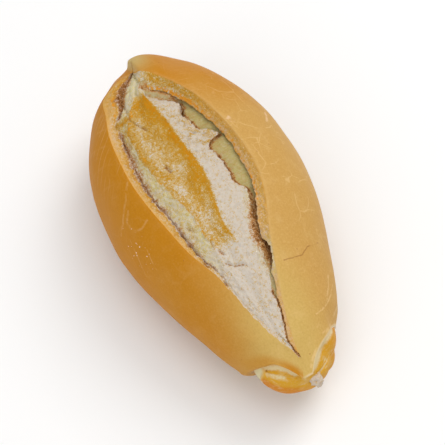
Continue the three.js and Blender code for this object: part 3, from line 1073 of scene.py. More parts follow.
@dataclass(frozen=True)
class CrustFinish:
    """The smooth baked crust: golden, amber on one flank, with pale stretch marks and small dark dots.

    Attributes:
        golden: Colour of the light crust.
        amber: Colour of the browner crust, which on the -Y flank and at the far end is partly painted shade.
        honey: Colour near the pointed end.
        sheen_and_tan: Colour of painted sheen, paler crust towards the silhouettes, and of the pinkish tan of
            the far flap.
        pale: Colour of the stretch marks and of the crust's edge along the slash.
        base: Colour of the underside.
        untoasted: Colour of the pale tip of the flap.
        dot: Colour of the dark dots.
        scar_tone: Colour of the scars.
        crack_tone: Colour of a fine crack.
        flour_tone: Colour of the flour.
        torn_rim: Colour of the layer's edge where it was torn.
        marks: Stretch marks.
        creases: Pale creases beside the tucked end.
        scars: Whiter scars.
        cracks: Fine cracks.
        flour: Middle of the patch with flour on it, and its radii, in millimetres.
        marked: The same for the flank with the net of stretch marks.
        wrinkled: The same for the end with the fine slanting lines.
    """

    golden: Shade = shade(200, 155, 82)
    amber: Shade = shade(192, 126, 16)
    honey: Shade = shade(206, 174, 98)
    sheen_and_tan: Shade = shade(202, 152, 96)
    pale: Shade = shade(232, 198, 140)
    base: Shade = shade(190, 136, 74)
    untoasted: Shade = shade(196, 174, 112)
    dot: Shade = shade(150, 80, 34)
    scar_tone: Shade = shade(236, 206, 172)
    crack_tone: Shade = shade(150, 92, 44)
    flour_tone: Shade = shade(250, 244, 226)
    torn_rim: Shade = shade(226, 211, 180)
    marks: tuple[Stroke, ...] = (
        Stroke(((-17, -24.3, 41.4), (-13, -26.8, 39.3), (-8.4, -30.2, 34.5), (-6.7, -32, 30.4)), 0.5),
        Stroke(((-9.3, -27.9, 38.1), (-7.3, -29.3, 36), (-4.7, -29.2, 35.7)), 0.45, 0.5),
        Stroke(((-2.9, -28.6, 36.3), (-1.9, -26.6, 38.5), (-2.4, -24.5, 40.5)), 0.45, 0.5),
        Stroke(((4.2, -27.9, 35.5), (7.8, -28, 33.8), (14, -27, 31)), 0.25),
        Stroke(((-2.8, -30.6, 32.9), (2.2, -30.6, 31.2), (8.5, -30.6, 27)), 0.25),
    )
    creases: tuple[Stroke, ...] = (
        Stroke(((59.1, 0.1, 28.2), (56.9, 1.9, 29.3), (55.1, 4.2, 29.9)), 0.4),
        Stroke(((51.7, 8.5, 30.1), (50, 12, 28.5), (47.4, 14.9, 26.8), (44, 17.4, 25)), 0.6),
        Stroke(((49.6, 7, 31.6), (47.4, 9.4, 31.6), (44.4, 12.2, 31)), 0.4),
        Stroke(((46.2, 8.6, 33.2), (44.9, 12.4, 31.8), (42, 16, 30.5), (38, 19.6, 29)), 0.35, 0.5),
        Stroke(((43.6, 13.4, 31.8), (40, 16.4, 31.4), (35, 19.4, 31)), 0.3, 0.5),
    )
    scars: tuple[Stroke, ...] = (
        Stroke(((-23.3, 27.7, 37.4), (-21.3, 27.3, 38), (-19.1, 25.9, 39.5)), 0.5),
        Stroke(((-21.6, 13.4, 46), (-20.2, 14.4, 45.9)), 0.8, 1.2),
    )
    cracks: tuple[Stroke, ...] = (
        Stroke(
            ((29, 6.5, 40.8), (29, 9.6, 39.9), (28.9, 12.9, 38.6), (26.7, 15.8, 37.8), (25.4, 20.5, 34.4)),
            0.2,
        ),
    )
    flour: tuple[Point, Point] = ((1.0, -30.0, 33.0), (11.0, 5.0, 6.0))
    marked: tuple[Point, Point] = ((-10.0, 24.0, 38.0), (48.0, 24.0, 26.0))
    wrinkled: tuple[Point, Point] = ((-34.0, -8.0, 34.0), (30.0, 40.0, 22.0))

    def build(self) -> bpy.types.Material:
        """Makes the material.

        Returns:
            The material.
        """
        sheet = Sheet("crust", self.golden)
        blotch = sheet.grain(16.0, 3.0)
        cloud = sheet.grain(4.5, 4.0)
        grain = sheet.grain(0.6, 4.0)
        # browning: amber where the crust is browner; on the -Y flank and at the far end it is partly painted
        # shade.
        browning_and_shade = sheet.painted("browning_and_shade")
        sheet.coat(sheet.window(sheet.plus(browning_and_shade, sheet.spread(blotch, 0.6)), 0.0, 1.0), self.amber)
        sheet.coat(sheet.painted("honey"), self.honey)
        # Painted sheen, paler towards the silhouettes, and the pinkish tan of the far flap.
        sheet.coat(sheet.painted("sheen_and_tan"), self.sheen_and_tan, 0.75)
        sheet.coat(sheet.painted("underside"), self.base)
        sheet.coat(sheet.painted("untoasted"), self.untoasted)
        light = sheet.sum("SUBTRACT", 0.14, sheet.times(browning_and_shade, 0.1))
        sheet.coat(sheet.times(sheet.window(cloud, 0.5, 0.75), light), self.pale)
        sheet.coat(sheet.times(sheet.window(grain, 0.5, 0.7), light), self.pale)
        sheet.coat(sheet.window(grain, 0.5, 0.3), self.dot, 0.1)
        sheet.coat(self._web(sheet), self.pale, 0.34)
        sheet.coat(self._wrinkles(sheet), self.pale, 0.25)
        broken = sheet.window(sheet.grain(2.2, 3.0), 0.3, 0.56)
        drawn = [(stroke, self.pale, 0.2) for stroke in self.marks]
        drawn += [(stroke, self.pale, 0.5) for stroke in self.creases]
        drawn += [(stroke, self.scar_tone, 0.6) for stroke in self.scars]
        for stroke, tone, strength in drawn:
            sheet.coat(sheet.times(sheet.stroke(stroke), broken), tone, strength)
        for stroke in self.cracks:
            sheet.coat(sheet.stroke(stroke), self.crack_tone, 0.6)
        sheet.coat(self._dots(sheet), self.dot, 0.7)
        sheet.coat(self._flour(sheet), self.flour_tone, 0.9)
        # Painted highlight along the crust's edge by the slash.
        sheet.coat(sheet.painted("rim"), self.pale)
        sheet.coat(sheet.painted("torn_rim"), self.torn_rim)
        sheet.surface(sheet.plus(sheet.times(grain, 0.2), 0.45), soft=0.05, shine=0.12)
        sheet.relief((blotch, 0.3), (cloud, 0.07), (grain, 0.03))
        return sheet.material

    def _web(self, sheet: Sheet) -> Socket:
        """A broken net of fine stretch marks, mostly on the lighter flank.

        Args:
            sheet: The material's sheet.

        Returns:
            1 on the marks, 0 beside them.
        """
        found = []
        for size, thin in ((14.0, 0.022), (9.0, 0.024)):
            line = sheet.window(sheet.cells(size, "DISTANCE_TO_EDGE", warp=size * 0.5), thin, 0.0)
            found.append(sheet.times(line, sheet.window(sheet.grain(size * 0.6, 2.0), 0.45, 0.6)))
        web = sheet.sum("MAXIMUM", found[0], found[1])
        return sheet.times(web, sheet.plus(sheet.patch(*self.marked), 0.12))

    def _wrinkles(self, sheet: Sheet) -> Socket:
        """Fine slanting lines at the far end, close together, crossed by fainter ones.

        Args:
            sheet: The material's sheet.

        Returns:
            1 on the lines, 0 beside them.
        """
        main = sheet.window(sheet.waves(2.4, (44.0, -4.0), bend=2.4), 0.93, 1.0)
        cross = sheet.window(sheet.waves(5.2, (20.0, 52.0), bend=5.0), 0.93, 1.0)
        both = sheet.sum("MAXIMUM", main, sheet.times(cross, 0.35))
        broken = sheet.window(sheet.grain(6.0, 2.0), 0.42, 0.6)
        return sheet.times(both, sheet.times(broken, sheet.patch(*self.wrinkled)))

    def _dots(self, sheet: Sheet) -> Socket:
        """Small dark dots, here and there."""
        dots = sheet.window(sheet.cells(3.1, "F1"), 0.085, 0.04)
        return sheet.times(dots, sheet.window(sheet.grain(4.3, 2.0), 0.5, 0.56))

    def _flour(self, sheet: Sheet) -> Socket:
        """Specks of flour on one patch of the flank."""
        specks = sheet.window(sheet.cells(1.5, "F1", warp=0.6), 0.16, 0.1)
        return sheet.times(specks, sheet.patch(*self.flour))


@dataclass(frozen=True)
class CrumbFinish:
    """The torn inside: white crumb, gold where it stood proud, greenish where it is stretched smooth.

    Attributes:
        crumb: Colour of the white crumb.
        dull: Colour of its duller places.
        ochre: Colour of the smooth cut edge of the crust.
        moss: Colour of the gap's smooth floor.
        cream: Colour of the crumb where it begins to toast.
        gold: Colour of toasted crumb.
        amber: Colour of the deepest toasted places.
        olive: Colour of smooth, damp dough, also laid as painted shade on the crumb leading into the gap.
        pink: Colour of the pale lip near the tip.
        shade_and_threads: Colour of the painted shade in the gaps and the pores, and the brown of the threads
            across the gap's floor.
        umber: Colour of the darkest painted shade, in the deepest places.
        scorched: Colour of scorched specks.
    """

    crumb: Shade = shade(206, 195, 181)
    dull: Shade = shade(200, 184, 168)
    ochre: Shade = shade(216, 164, 84)
    moss: Shade = shade(171, 156, 97)
    cream: Shade = shade(198, 167, 104)
    gold: Shade = shade(185, 133, 24)
    amber: Shade = shade(198, 126, 8)
    olive: Shade = shade(208, 196, 130)
    pink: Shade = shade(216, 184, 150)
    shade_and_threads: Shade = shade(178, 126, 70)
    umber: Shade = shade(120, 76, 34)
    scorched: Shade = shade(219, 144, 38)

    def build(self) -> bpy.types.Material:
        """Makes the material.

        Returns:
            The material.
        """
        sheet = Sheet("crumb", self.crumb)
        fine = sheet.grain(0.32, 3.0)
        medium = sheet.grain(1.0, 4.0)
        coarse = sheet.grain(4.5, 3.0)
        streaks = sheet.grain(0.45, 2.0, stretch=(1.0, 2.6, 1.0), turn=35.0)
        combed = sheet.grain(0.4, 2.0, stretch=(1.0, 7.0, 1.0), turn=-8.0)
        mottle = sheet.plus(sheet.spread(fine, 2.0), sheet.spread(medium, 1.3))
        mottle = sheet.plus(mottle, sheet.times(sheet.spread(streaks, 1.0), sheet.painted("streaked")))
        toast = sheet.plus(sheet.painted("toast"), sheet.plus(mottle, sheet.spread(coarse, 0.6)))
        sheet.coat(sheet.window(medium, 0.45, 0.7), self.dull, 0.5)
        sheet.coat(sheet.window(toast, 0.03, 0.46), self.cream)
        sheet.coat(sheet.mottled("pink", mottle, 1.0), self.pink)
        # Olive of the smooth damp dough, and painted shade on the crumb that leads into the gap.
        sheet.coat(sheet.mottled("damp_and_shade", mottle, 2.0), self.olive)
        sheet.coat(sheet.mottled("combed", mottle, 0.5, level=0.74), self.moss)
        threads = sheet.times(sheet.window(combed, 0.42, 0.66), sheet.painted("combed"))
        sheet.coat(threads, self.shade_and_threads, 0.36)
        sheet.coat(sheet.window(toast, 0.3, 0.98), self.gold)
        sheet.coat(sheet.window(toast, 0.85, 1.5), self.amber)
        sheet.coat(sheet.painted("ochre"), self.ochre)
        specks = sheet.plus(sheet.painted("scorch"), sheet.spread(medium, 2.2))
        sheet.coat(sheet.window(specks, 0.7, 1.0), self.scorched, 0.85)
        # Painted shade in the gaps, the crevice, cracks and pits, with the brown of the torn edges; umber
        # where it is deepest.
        depth = sheet.mottled("depth", mottle, 1.8)
        sheet.coat(sheet.window(depth, 0.2, 0.9), self.shade_and_threads)
        sheet.coat(sheet.window(depth, 0.85, 1.5), self.umber)
        # Painted shade in the pores.
        pores = sheet.window(sheet.cells(1.6, "F1", warp=0.7), 0.15, 0.06)
        sheet.coat(sheet.times(pores, sheet.window(coarse, 0.52, 0.62)), self.shade_and_threads, 0.3)
        sheet.surface(0.85, soft=0.1, shine=0.15)
        sheet.relief((medium, 0.22), (fine, 0.12))
        return sheet.material


@dataclass(frozen=True)
class TuckFinish:
    """The tucked end: smooth golden dough, orange underneath, pale in its creases.

    Attributes:
        gold: Main colour.
        orange: Colour of its underside.
        pale: Colour in the creases.
        green: Colour of its untoasted side.
        brown: Colour of the painted shade in the pits.
    """

    gold: Shade = shade(214, 158, 40)
    orange: Shade = shade(206, 128, 8)
    pale: Shade = shade(226, 208, 162)
    green: Shade = shade(222, 216, 174)
    brown: Shade = shade(150, 84, 32)

    def build(self) -> bpy.types.Material:
        """Makes the material.

        Returns:
            The material.
        """
        sheet = Sheet("tucked_dough", self.gold)
        blotch = sheet.grain(6.0, 3.0)
        grain = sheet.grain(0.6, 4.0)
        streaks = sheet.grain(1.3, 3.0, stretch=(1.0, 3.5, 1.0), turn=-30.0)
        tone = sheet.plus(sheet.painted("orange"), sheet.spread(blotch, 0.9))
        sheet.coat(sheet.window(tone, 0.1, 0.95), self.orange)
        sheet.coat(sheet.window(streaks, 0.52, 0.7), self.pale, 0.25)
        sheet.coat(sheet.painted("green"), self.green)
        crease = sheet.mottled("crease", sheet.spread(grain, 1.2), 1.0)
        sheet.coat(sheet.window(crease, 0.1, 0.9), self.pale, 0.9)
        sheet.coat(sheet.window(grain, 0.5, 0.7), self.pale, 0.12)
        # Painted shade in the pits.
        sheet.coat(sheet.painted("pit"), self.brown)
        sheet.surface(sheet.plus(sheet.times(grain, 0.2), 0.42), soft=0.06, shine=0.1)
        sheet.relief((blotch, 0.2), (grain, 0.05))
        return sheet.material


@dataclass(frozen=True)
class TableFinish:
    """The plain pale surface that the roll lies on.

    Attributes:
        tone: Its colour.
        faint: Colour of its faint clouds.
    """

    tone: Shade = shade(246, 246, 246)
    faint: Shade = shade(238, 238, 238)

    def build(self) -> bpy.types.Material:
        """Makes the material.

        Returns:
            The material.
        """
        sheet = Sheet("table", self.tone)
        sheet.coat(sheet.grain(30.0, 2.0), self.faint, 0.04)
        sheet.surface(0.7)
        return sheet.material


# ---- The roll ----


@dataclass
class SlashPaint:
    """What is painted in the slash, by where its points lie.

    Attributes:
        form: The opening.
        crumb: Relief of the torn dough.
        points: The slash's points, before they are torn.
        across: Place of each column among the strips.
        patches: Noise that makes the plateau's toast patchy.
        fibres: Noise that yellows the pulled crumb.
        moisture: Noise that makes the slope damp in patches.
        tear_line_break: Noise that breaks the painted shadow and brown crust along the torn edge.
        ragged: Noise that frays the painted shade by the right lip.
        split: Noise that breaks the shut crack towards the tip.
    """

    form: SlashForm
    crumb: TornCrumb
    points: np.ndarray
    across: np.ndarray
    patches: Grain = Grain(5.0, 61.0, 2)
    fibres: Grain = Grain(0.9, 41.0, 2)
    moisture: Grain = Grain(4.0, 17.0, 2)
    tear_line_break: Grain = Grain(2.2, 71.0, 2)
    ragged: Grain = Grain(1.5, 91.0, 2)
    split: Grain = Grain(1.3, 83.0, 2)

    def __post_init__(self) -> None:
        """Works out how far each point lies along, across and from the lines."""
        self.x, y = self.points[..., 0], self.points[..., 1]
        self.place = np.broadcast_to(self.across, y.shape)
        lines = [places[:, None] for places in self.form.places(self.x[:, 0])]
        left, lip, middle, foot, shoulder, _, crest, torn, _, _, right_lip, right = lines
        self.into_left = (y - left) / np.maximum(lip - left, SHORTEST)
        self.into_right = (right - y) / np.maximum(right - right_lip, SHORTEST)
        self.into_crevice = (y - middle) / np.maximum(foot - lip, SHORTEST)
        self.past_shoulder = y - shoulder
        self.past_crest = y - crest
        self.past_torn = y - torn
        self.past_lip = y - right_lip
        self.past_right = y - right
        self.left_cut = Strip.LEFT_CUT.holds(self.place)
        self.right_cut = Strip.RIGHT_CUT.holds(self.place)
        self.slope = self._between(Strip.SLOPE.place, Strip.HOLLOW.place + 0.6)
        self.in_gap = self._between(Strip.TEAR.place + JUST_PAST, Strip.RIGHT_CUT.place)
        self.risen = self._between(Strip.SLOPE.place, Strip.TEAR.place + 0.1)
        self.gap = self.form.gap(self.x)
        self.untorn = self.form.untorn(self.x)
        self.bridge = self.form.bridge(self.x)
        self.baked = ease(self.x, -46.5, -41.0) * (1 - ease(self.x, 12.0, 23.0))

    def _between(self, low: float, high: float) -> np.ndarray:
        """True from one place among the strips up to another."""
        return (self.place >= low) & (self.place < high)

    def toasted_crumb(self) -> np.ndarray:
        """How toasted the risen crumb is: gold along its crest, flecked by its shoulder.

        Returns:
            Less than 0 where it is white, 1 where it is deep gold.
        """
        x, past_crest, past_shoulder = self.x, self.past_crest, self.past_shoulder
        breadth = 4.4 - 2.6 * ease(x, -14.0, 8.0)
        left_of_crest = np.exp(-((np.maximum(-past_crest, 0.0) / breadth) ** 1.6))
        gold = np.where(past_crest < 0, left_of_crest, 1 - ease(past_crest, 0.0, 0.9))
        gold = 1.15 * gold * (1 - 0.2 * ease(x, -14.0, 6.0))
        flecks = ease(past_shoulder, -0.6, 0.1) * (1 - 0.75 * ease(past_shoulder, 1.0, 5.0))
        flecks = flecks * (0.55 + 0.2 * ease(-x, 8.0, 28.0))
        plateau = ease(past_shoulder, -0.3, 0.4) * (1 - ease(past_crest, 0.2, 1.4))
        plateau = plateau * (1 - 0.4 * ease(x, -12.0, 8.0))
        patches = 0.5 + 0.34 * self.patches.over(self.points)
        patches = patches + 0.3 * ease(past_crest, -7.0, -3.0) + 0.14 * swell(x, -39.0, 5.0)
        baked = self.baked * np.maximum.reduce([gold, flecks, patches * plateau])
        yellow = 0.24 + 0.3 * self.fibres.over(self.points * PULLED)
        yellow = yellow * swell(x, -21.0, 9.0) * ease(self.past_torn, -6.0, -1.0)
        white = 0.12 * ease(past_crest, 1.0, 3.0) * (1 + ease(x, -30.0, -6.0))
        white = white + 0.5 * ease(x, 14.0, 26.0)
        return np.where(self.risen, baked + yellow - white, 0.0)

    def toast(self) -> np.ndarray:
        """How toasted all of the slash is.

        Returns:
            Less than 0 where it is white, 1 where it is deep gold.
        """
        x = self.x
        bridged = 0.85 * self.bridge * self._between(0.6, Strip.HOLLOW.place + 0.6)
        slope = (0.2 * self.baked + 0.26 * swell(x, -33.0, 5.0)) * self.slope
        toast = np.maximum.reduce([self.toasted_crumb(), bridged, slope])
        left = 0.48 + 0.14 * ease(-x, 40.0, 46.0) - 0.22 * swell(x, -38.0, 7.0)
        left = left + 0.34 * swell(self.into_left, 0.8, 0.15) - 0.4 * ease(self.into_left, 0.9, 1.0)
        left = left * (1 - 0.75 * ease(x, 14.0, 34.0))
        # The dip by the right cut's inner edge keeps it pale: partly a painted highlight.
        right = 0.6 + 0.12 * ease(-x, 12.0, 30.0) - 0.3 * swell(self.into_right, 0.8, 0.28)
        right = right - 0.6 * ease(self.into_right, 0.82, 1.0) * ease(x, -12.0, 2.0)
        right = right * (1 - 0.6 * ease(x, 11.0, 24.0)) * ease(x, -54.0, -48.5)
        toast = np.select([self.left_cut, self.right_cut], [left, right], toast)
        strands = sum(strand.nearness(self.points, 2) for strand, _ in self.crumb.strands)
        return np.maximum(toast, 0.45 * strands * (self.place < Strip.FLOOR.place))

    def damp_and_shade(self) -> np.ndarray:
        """How damp the dough looks: on the slope, on the gap's floor and on the sheet at the far end, with
        painted shade on the crumb that leads into the gap.

        Returns:
            0 where it is dry, 1 where it is damp.
        """
        x, past_torn = self.x, self.past_torn
        slope = ease(self.place, 2.5, 3.0) * (self.place < Strip.RISE.place)
        slope = slope * (1 - ease(self.past_shoulder, -0.6, 0.2)) * (1 - ease(x, 14.0, 26.0))
        slope = slope * (0.36 + 0.3 * self.moisture.over(self.points))
        floor = ease(past_torn, 0.3, 1.2) * self.in_gap
        floor = floor * (1 - 0.7 * ease(x, 2.0, 8.0)) * ease(x, -39.0, -35.0)
        sheet = (1 - ease(x, -47.5, -41.5)) * (1 - 0.5 * ease(self.past_crest, -1.0, 2.0))
        sheet = 0.5 * sheet * ease(self.place, 2.4, 3.0) * (1 - 0.5 * self.right_cut)
        # by_gap: painted shade that darkens the crumb towards the gap.
        by_gap = self._between(Strip.CRUMB.place + JUST_PAST, Strip.RIGHT_CUT.place + JUST_PAST)
        by_gap = 0.4 * ease(past_torn, -3.4, 0.8) * by_gap * ease(x, 0.0, 6.0) * self.gap
        near_cut = 0.45 * self.right_cut * ease(x, 16.0, 24.0) * (1 - ease(x, 34.0, 40.0))
        return np.maximum.reduce([slope, floor, sheet, by_gap, near_cut])

    def depth(self) -> np.ndarray:
        """Painted shade deep in the gaps, cracks and pits, with the brown crust of the torn edges.

        Returns:
            0 on open crumb, 1 and more in the depths.
        """
        x, past_torn = self.x, self.past_torn
        past_crumb = Strip.CRUMB.place + JUST_PAST
        gap_end = Strip.RIGHT_CUT.place
        # tear: painted shadow on the floor just past the torn edge, with its brown crust.
        tear = 1.35 * (self.place > Strip.TEAR.place + 0.02) * (1 - ease(past_torn, 0.9, 1.9)) * self.gap
        tear = tear * (0.9 + 0.7 * self.tear_line_break.over(self.points))
        tear = tear * (1 - 0.8 * ease(x, 3.0, 9.0)) * (1 - 0.6 * ease(-x, 37.0, 41.0))
        # narrow and far_end are painted shade that deepens towards the right lip.
        to_lip = self.past_lip + 0.8 * self.ragged.over(self.points)
        narrow = 0.6 * ease(to_lip, -4.6, -2.2) + 0.5 * ease(to_lip, -2.6, -1.2)
        narrow = narrow * self._between(Strip.RISE.place + 0.2, gap_end)
        narrow = narrow * ease(x, 3.0, 9.0) * (1 - ease(x, 24.0, 33.0))
        far_end = 0.8 * ease(-x, 35.0, 39.0) * (1 - self.untorn) * ease(to_lip, -2.4, -0.5)
        far_end = far_end * self._between(Strip.RISE.place + 0.8, gap_end)
        # roof: painted shade under the right lip.
        roof = 0.45 * ease(self.place, 8.75, 9.2) * (self.place < gap_end) * (1 - self.untorn)
        crack = (1.15 + 0.8 * self.split.over(self.points)) * swell(past_torn, 0.15, 0.42)
        crack = crack * ease(x, 33.0, 36.0) * self._between(past_crumb, gap_end + 0.8)
        tip = ease(x, 50.5, 54.5) * ease(past_torn, -0.9, -0.1)
        tip = tip * self._between(Strip.CREVICE_IN.place + JUST_PAST, gap_end)
        ledge = 0.4 * swell(past_torn, 0.0, 0.35) * self.gap
        ledge = ledge * self._between(past_crumb, Strip.TEAR.place + 0.1)
        pits = sum(pit.nearness(self.points, 2) * min(drop, 1.0) for pit, drop in self.crumb.cracks)
        browned = [self._crevice(), tear, narrow + far_end, roof, crack, tip, ledge, 0.7 * pits]
        return np.maximum.reduce(browned)

    def _crevice(self) -> np.ndarray:
        """Painted shade in the left crevice, widest and darkest in its far pocket.

        Returns:
            0 beside it, 1 and more in it.
        """
        pocket = swell(self.x, -48.5, 5.0)
        brown = swell(self.into_crevice, 0.05 - 0.15 * pocket, 1.0 - 0.4 * pocket) * (1 - self.bridge)
        brown = brown * (self.place < Strip.SLOPE.place + 0.6)
        brown = brown * (0.74 + 0.7 * pocket - 0.25 * swell(self.x, 1.0, 6.0))
        return brown * (1 - 0.15 * ease(self.x, 2.0, 12.0)) * (1 - ease(self.x, 22.0, 30.0))

    def scorch(self) -> np.ndarray:
        """How thickly scorched specks lie, on the cuts and by the shoulder.

        Returns:
            0 for none, 1 for many.
        """
        x = self.x
        right = 0.74 * swell(self.into_right, 0.85, 0.3) * (1 - self.untorn) * (1 - ease(x, 8.0, 24.0))
        right = right + 0.3 * swell(x, -38.0, 8.0) * swell(self.into_right, 0.8, 0.4)
        left = (0.3 + 0.65 * swell(x, -46.0, 5.0)) * swell(self.into_left, 0.68, 0.22) * (x < 22)
        past_foot = self.place > Strip.SLOPE.place
        shoulder = 0.5 * swell(self.past_shoulder, 0.6, 1.6) + 0.3 * self.bridge * self.slope * past_foot
        shoulder = shoulder * self.baked
        return right * self.right_cut + left * self.left_cut + shoulder

    def ochre(self) -> np.ndarray:
        """How ochre the smooth edges of the cuts are.

        Returns:
            0 for crumb, 1 for the smoothest edge.
        """
        x = self.x
        left = 1 - 0.55 * ease(self.into_left, 0.05, 0.4) - 0.15 * ease(self.into_left, 0.5, 0.8)
        left = 0.85 * left * (1 - 0.9 * ease(x, 10.0, 26.0))
        # The swell by the right cut's inner edge is a painted highlight over the cut's ochre.
        right = 1 - 0.45 * ease(self.into_right, 0.05, 0.3) + 0.3 * swell(self.into_right, 0.85, 0.2)
        right = 0.8 * right * ease(x, -40.0, -26.0) * (1 - 0.7 * ease(x, 12.0, 30.0))
        right = right + 0.5 * ease(x, 27.0, 35.0)
        tip = 0.8 * ease(x, 51.0, 55.0) * (self.left_cut | self.right_cut)
        return left * self.left_cut + right * self.right_cut + tip

    def grids(self) -> dict[str, np.ndarray]:
        """All that is painted in the slash.

        Returns:
            One grid for each name.
        """
        is_open = self.form.openness(self.x)
        shut = ease(is_open, 0.0, 0.08)
        streaked = swell(self.past_shoulder, 2.0, 3.5) * self.risen * self.baked
        # rim is a painted highlight along the right crust edge.
        rim = 0.3 * swell(self.past_right, 0.0, 0.22) * self.right_cut * ease(is_open, 0.1, 0.5)
        return {
            "toast": self.toast() * shut,
            "damp_and_shade": self.damp_and_shade() * shut,
            "depth": self.depth() * shut,
            "scorch": self.scorch() * shut,
            "pink": (0.3 - 0.15 * ease(self.x, 20.0, 30.0)) * self.left_cut * shut,
            "rim": rim * shut,
            "ochre": self.ochre() * shut,
            "combed": self.in_gap * 1.0,
            "streaked": streaked + 0.5 * (self.left_cut | self.right_cut),
            "crumbly": ease(is_open, 0.0, 0.1),
        }


@dataclass
class Roll:
    """The loaf's skin: crust all round, down into the slash, over the risen crumb and out under the lip.

    Attributes:
        loaf: Its closed form.
        slash: The opening.
        torn: Relief of the torn dough.
        layer: The edge of the outer layer.
        rows: Sections along the loaf.
        crust_columns: Columns round the crust.
        rim_rows: Sections round the edge of the outer layer.
        closing_rows: Sections that close the skin behind that edge.
        heart: Where the skin closes, inside the tucked end.
        axis_height: Height of the line from which the loaf's unevenness swells, in millimetres.
        waves: Noise of that unevenness.
        far_step: How much lower the left crust lies at the far end, in millimetres.
    """

    loaf: LoafForm = field(default_factory=LoafForm)
    slash: SlashForm = field(default_factory=SlashForm)
    torn: TornCrumb = field(default_factory=TornCrumb)
    layer: OuterLayer = field(default_factory=OuterLayer)
    rows: int = 334
    crust_columns: int = 76
    rim_rows: int = 8
    closing_rows: int = 4
    heart: Point = (46.0, 0.0, 19.0)
    axis_height: float = 20.0
    waves: Grain = Grain(22.0, 51.0, 2)
    far_step: float = 2.3

    def stations(self) -> np.ndarray:
        """Stations of the sections, closer together at the far end."""
        t = np.arange(1, self.rows + 1) / self.rows
        return blend(self.loaf.far_end, self.layer.tip, t * (1 - 0.5 * (1 - t) ** 3))

    def crust_part(self, x: np.ndarray) -> np.ndarray:
        """The crust's columns, from the right crust edge round the bottom to the left one.

        Args:
            x: Stations of the sections.

        Returns:
            The crust's points.
        """
        left, right = self.slash.edges(x)
        start = self.loaf.angle_over(x, right)[:, None]
        stop = self.loaf.angle_over(x, left)[:, None] + 2 * math.pi
        t = np.arange(self.crust_columns) / self.crust_columns
        t = t - 0.09 * np.sin(2 * math.pi * t)
        angle = start + (stop - start) * t
        right = angle < math.pi
        down_right, down_left = (angle - start) / (math.pi - start), (stop - angle) / (stop - math.pi)
        share = np.where(right, down_right, down_left)
        lean = ease(x, self.layer.start, self.layer.tip)[:, None]
        leaning = x[:, None] - self.layer.drawn_back(share, right) * lean
        points = self.loaf.skin(leaning, angle)
        points[..., 2] -= self.layer.sunk(x)[:, None] * (1 - share) ** 3
        points[..., 2] += 0.8 * swell(share, 0.17, 0.1) * lean**3 * ~right
        return points

    def slash_part(self, x: np.ndarray) -> tuple[np.ndarray, np.ndarray]:
        """The slash's columns, from the left crust edge to the right one.

        Args:
            x: Stations of the sections.

        Returns:
            Points, and for each column the strip's number plus how far it lies across that strip.
        """
        lines = self.slash.lines(x)
        places, drops, across = [], [], []
        for strip, left, right in zip(Strip, lines, lines[1:]):
            t = np.arange(strip.columns) / strip.columns
            places.append(blend(left.y[:, None], right.y[:, None], t))
            drops.append(blend(left.drop[:, None], right.drop[:, None], t))
            across.append(strip.place + t)
        across = np.hstack(across)
        y, drop = self._rounded(np.hstack(places), np.hstack(drops), across)
        xs = np.repeat(x[:, None], y.shape[1], axis=1)
        z = self.loaf.dome(xs, y) - drop - self.layer.sunk(x)[:, None]
        return np.stack([xs, y, z], axis=-1), across

    @staticmethod
    def _rounded(y: np.ndarray, drop: np.ndarray, across: np.ndarray) -> tuple[np.ndarray, np.ndarray]:
        """Rounds the section's corners, apart from the crust edges and the torn edges.

        Args:
            y: Places across the roll.
            drop: Depths below the dome.
            across: Place of each column among the strips.

        Returns:
            Both, with rounded corners.
        """
        kept = (Strip.LEFT_CUT, Strip.CREVICE_IN, Strip.TEAR, Strip.RIGHT_CUT)
        from_kept = np.minimum.reduce([np.abs(across - strip.place) for strip in kept])
        weight = np.clip(from_kept * 6, 0.0, 1.0)
        weight[0] = 0.0
        for _ in range(10):
            for grid in (y, drop):
                near = grid.copy()
                near[:, 1:-1] = (grid[:, :-2] + 2 * grid[:, 1:-1] + grid[:, 2:]) / 4
                grid += (near - grid) * weight
        return y, drop

    def _torn_open(self, points: np.ndarray, across: np.ndarray) -> np.ndarray:
        """Gives the slash its torn relief.

        Args:
            points: The slash's points.
            across: Place of each column among the strips.

        Returns:
            The points, moved.
        """
        is_open = np.minimum(self.slash.openness(points[..., 0]) * 1.6, 1.0)
        torn_edges = Strip.TEAR.holds(across) | Strip.CREVICE_IN.holds(across)
        inside = ease(np.minimum(across, len(Strip) - across), 0.0, 0.15)
        sideways = np.where(torn_edges, 0.4, 0.1) * inside
        moved = points.copy()
        moved[..., 2] += self.torn.lift(points, across, self.slash) * is_open
        moved[..., 1] += self.torn.rough.over(points) * sideways * is_open
        return moved

    def _uneven(self, points: np.ndarray) -> np.ndarray:
        """Makes the loaf a little uneven, off its flat underside.

        Args:
            points: All points of the sections.

        Returns:
            The points, moved.
        """
        outward = (points - np.array([0.0, 0.0, self.axis_height])) * np.array([0.0, 1.0, 1.0])
        outward /= np.maximum(np.linalg.norm(outward, axis=-1, keepdims=True), 1e-6)
        x, y, z = points[..., 0], points[..., 1], points[..., 2]
        far_shoulder = swell(x, -56.5, 7.0) * ease(-y, 5.0, 10.0)
        far_hollow = swell(x, -52.5, 8.0) * swell(y, 10.0, 6.0)
        near_hollow = ease(x, 43.0, 48.0) * ease(y, 11.0, 14.0)
        lift = 0.5 * self.waves.over(points) - 0.3
        lift += 1.4 * far_shoulder - 0.9 * far_hollow - 0.9 * near_hollow
        return points + outward * (lift * ease(z, 0.0, 6.0))[..., None]

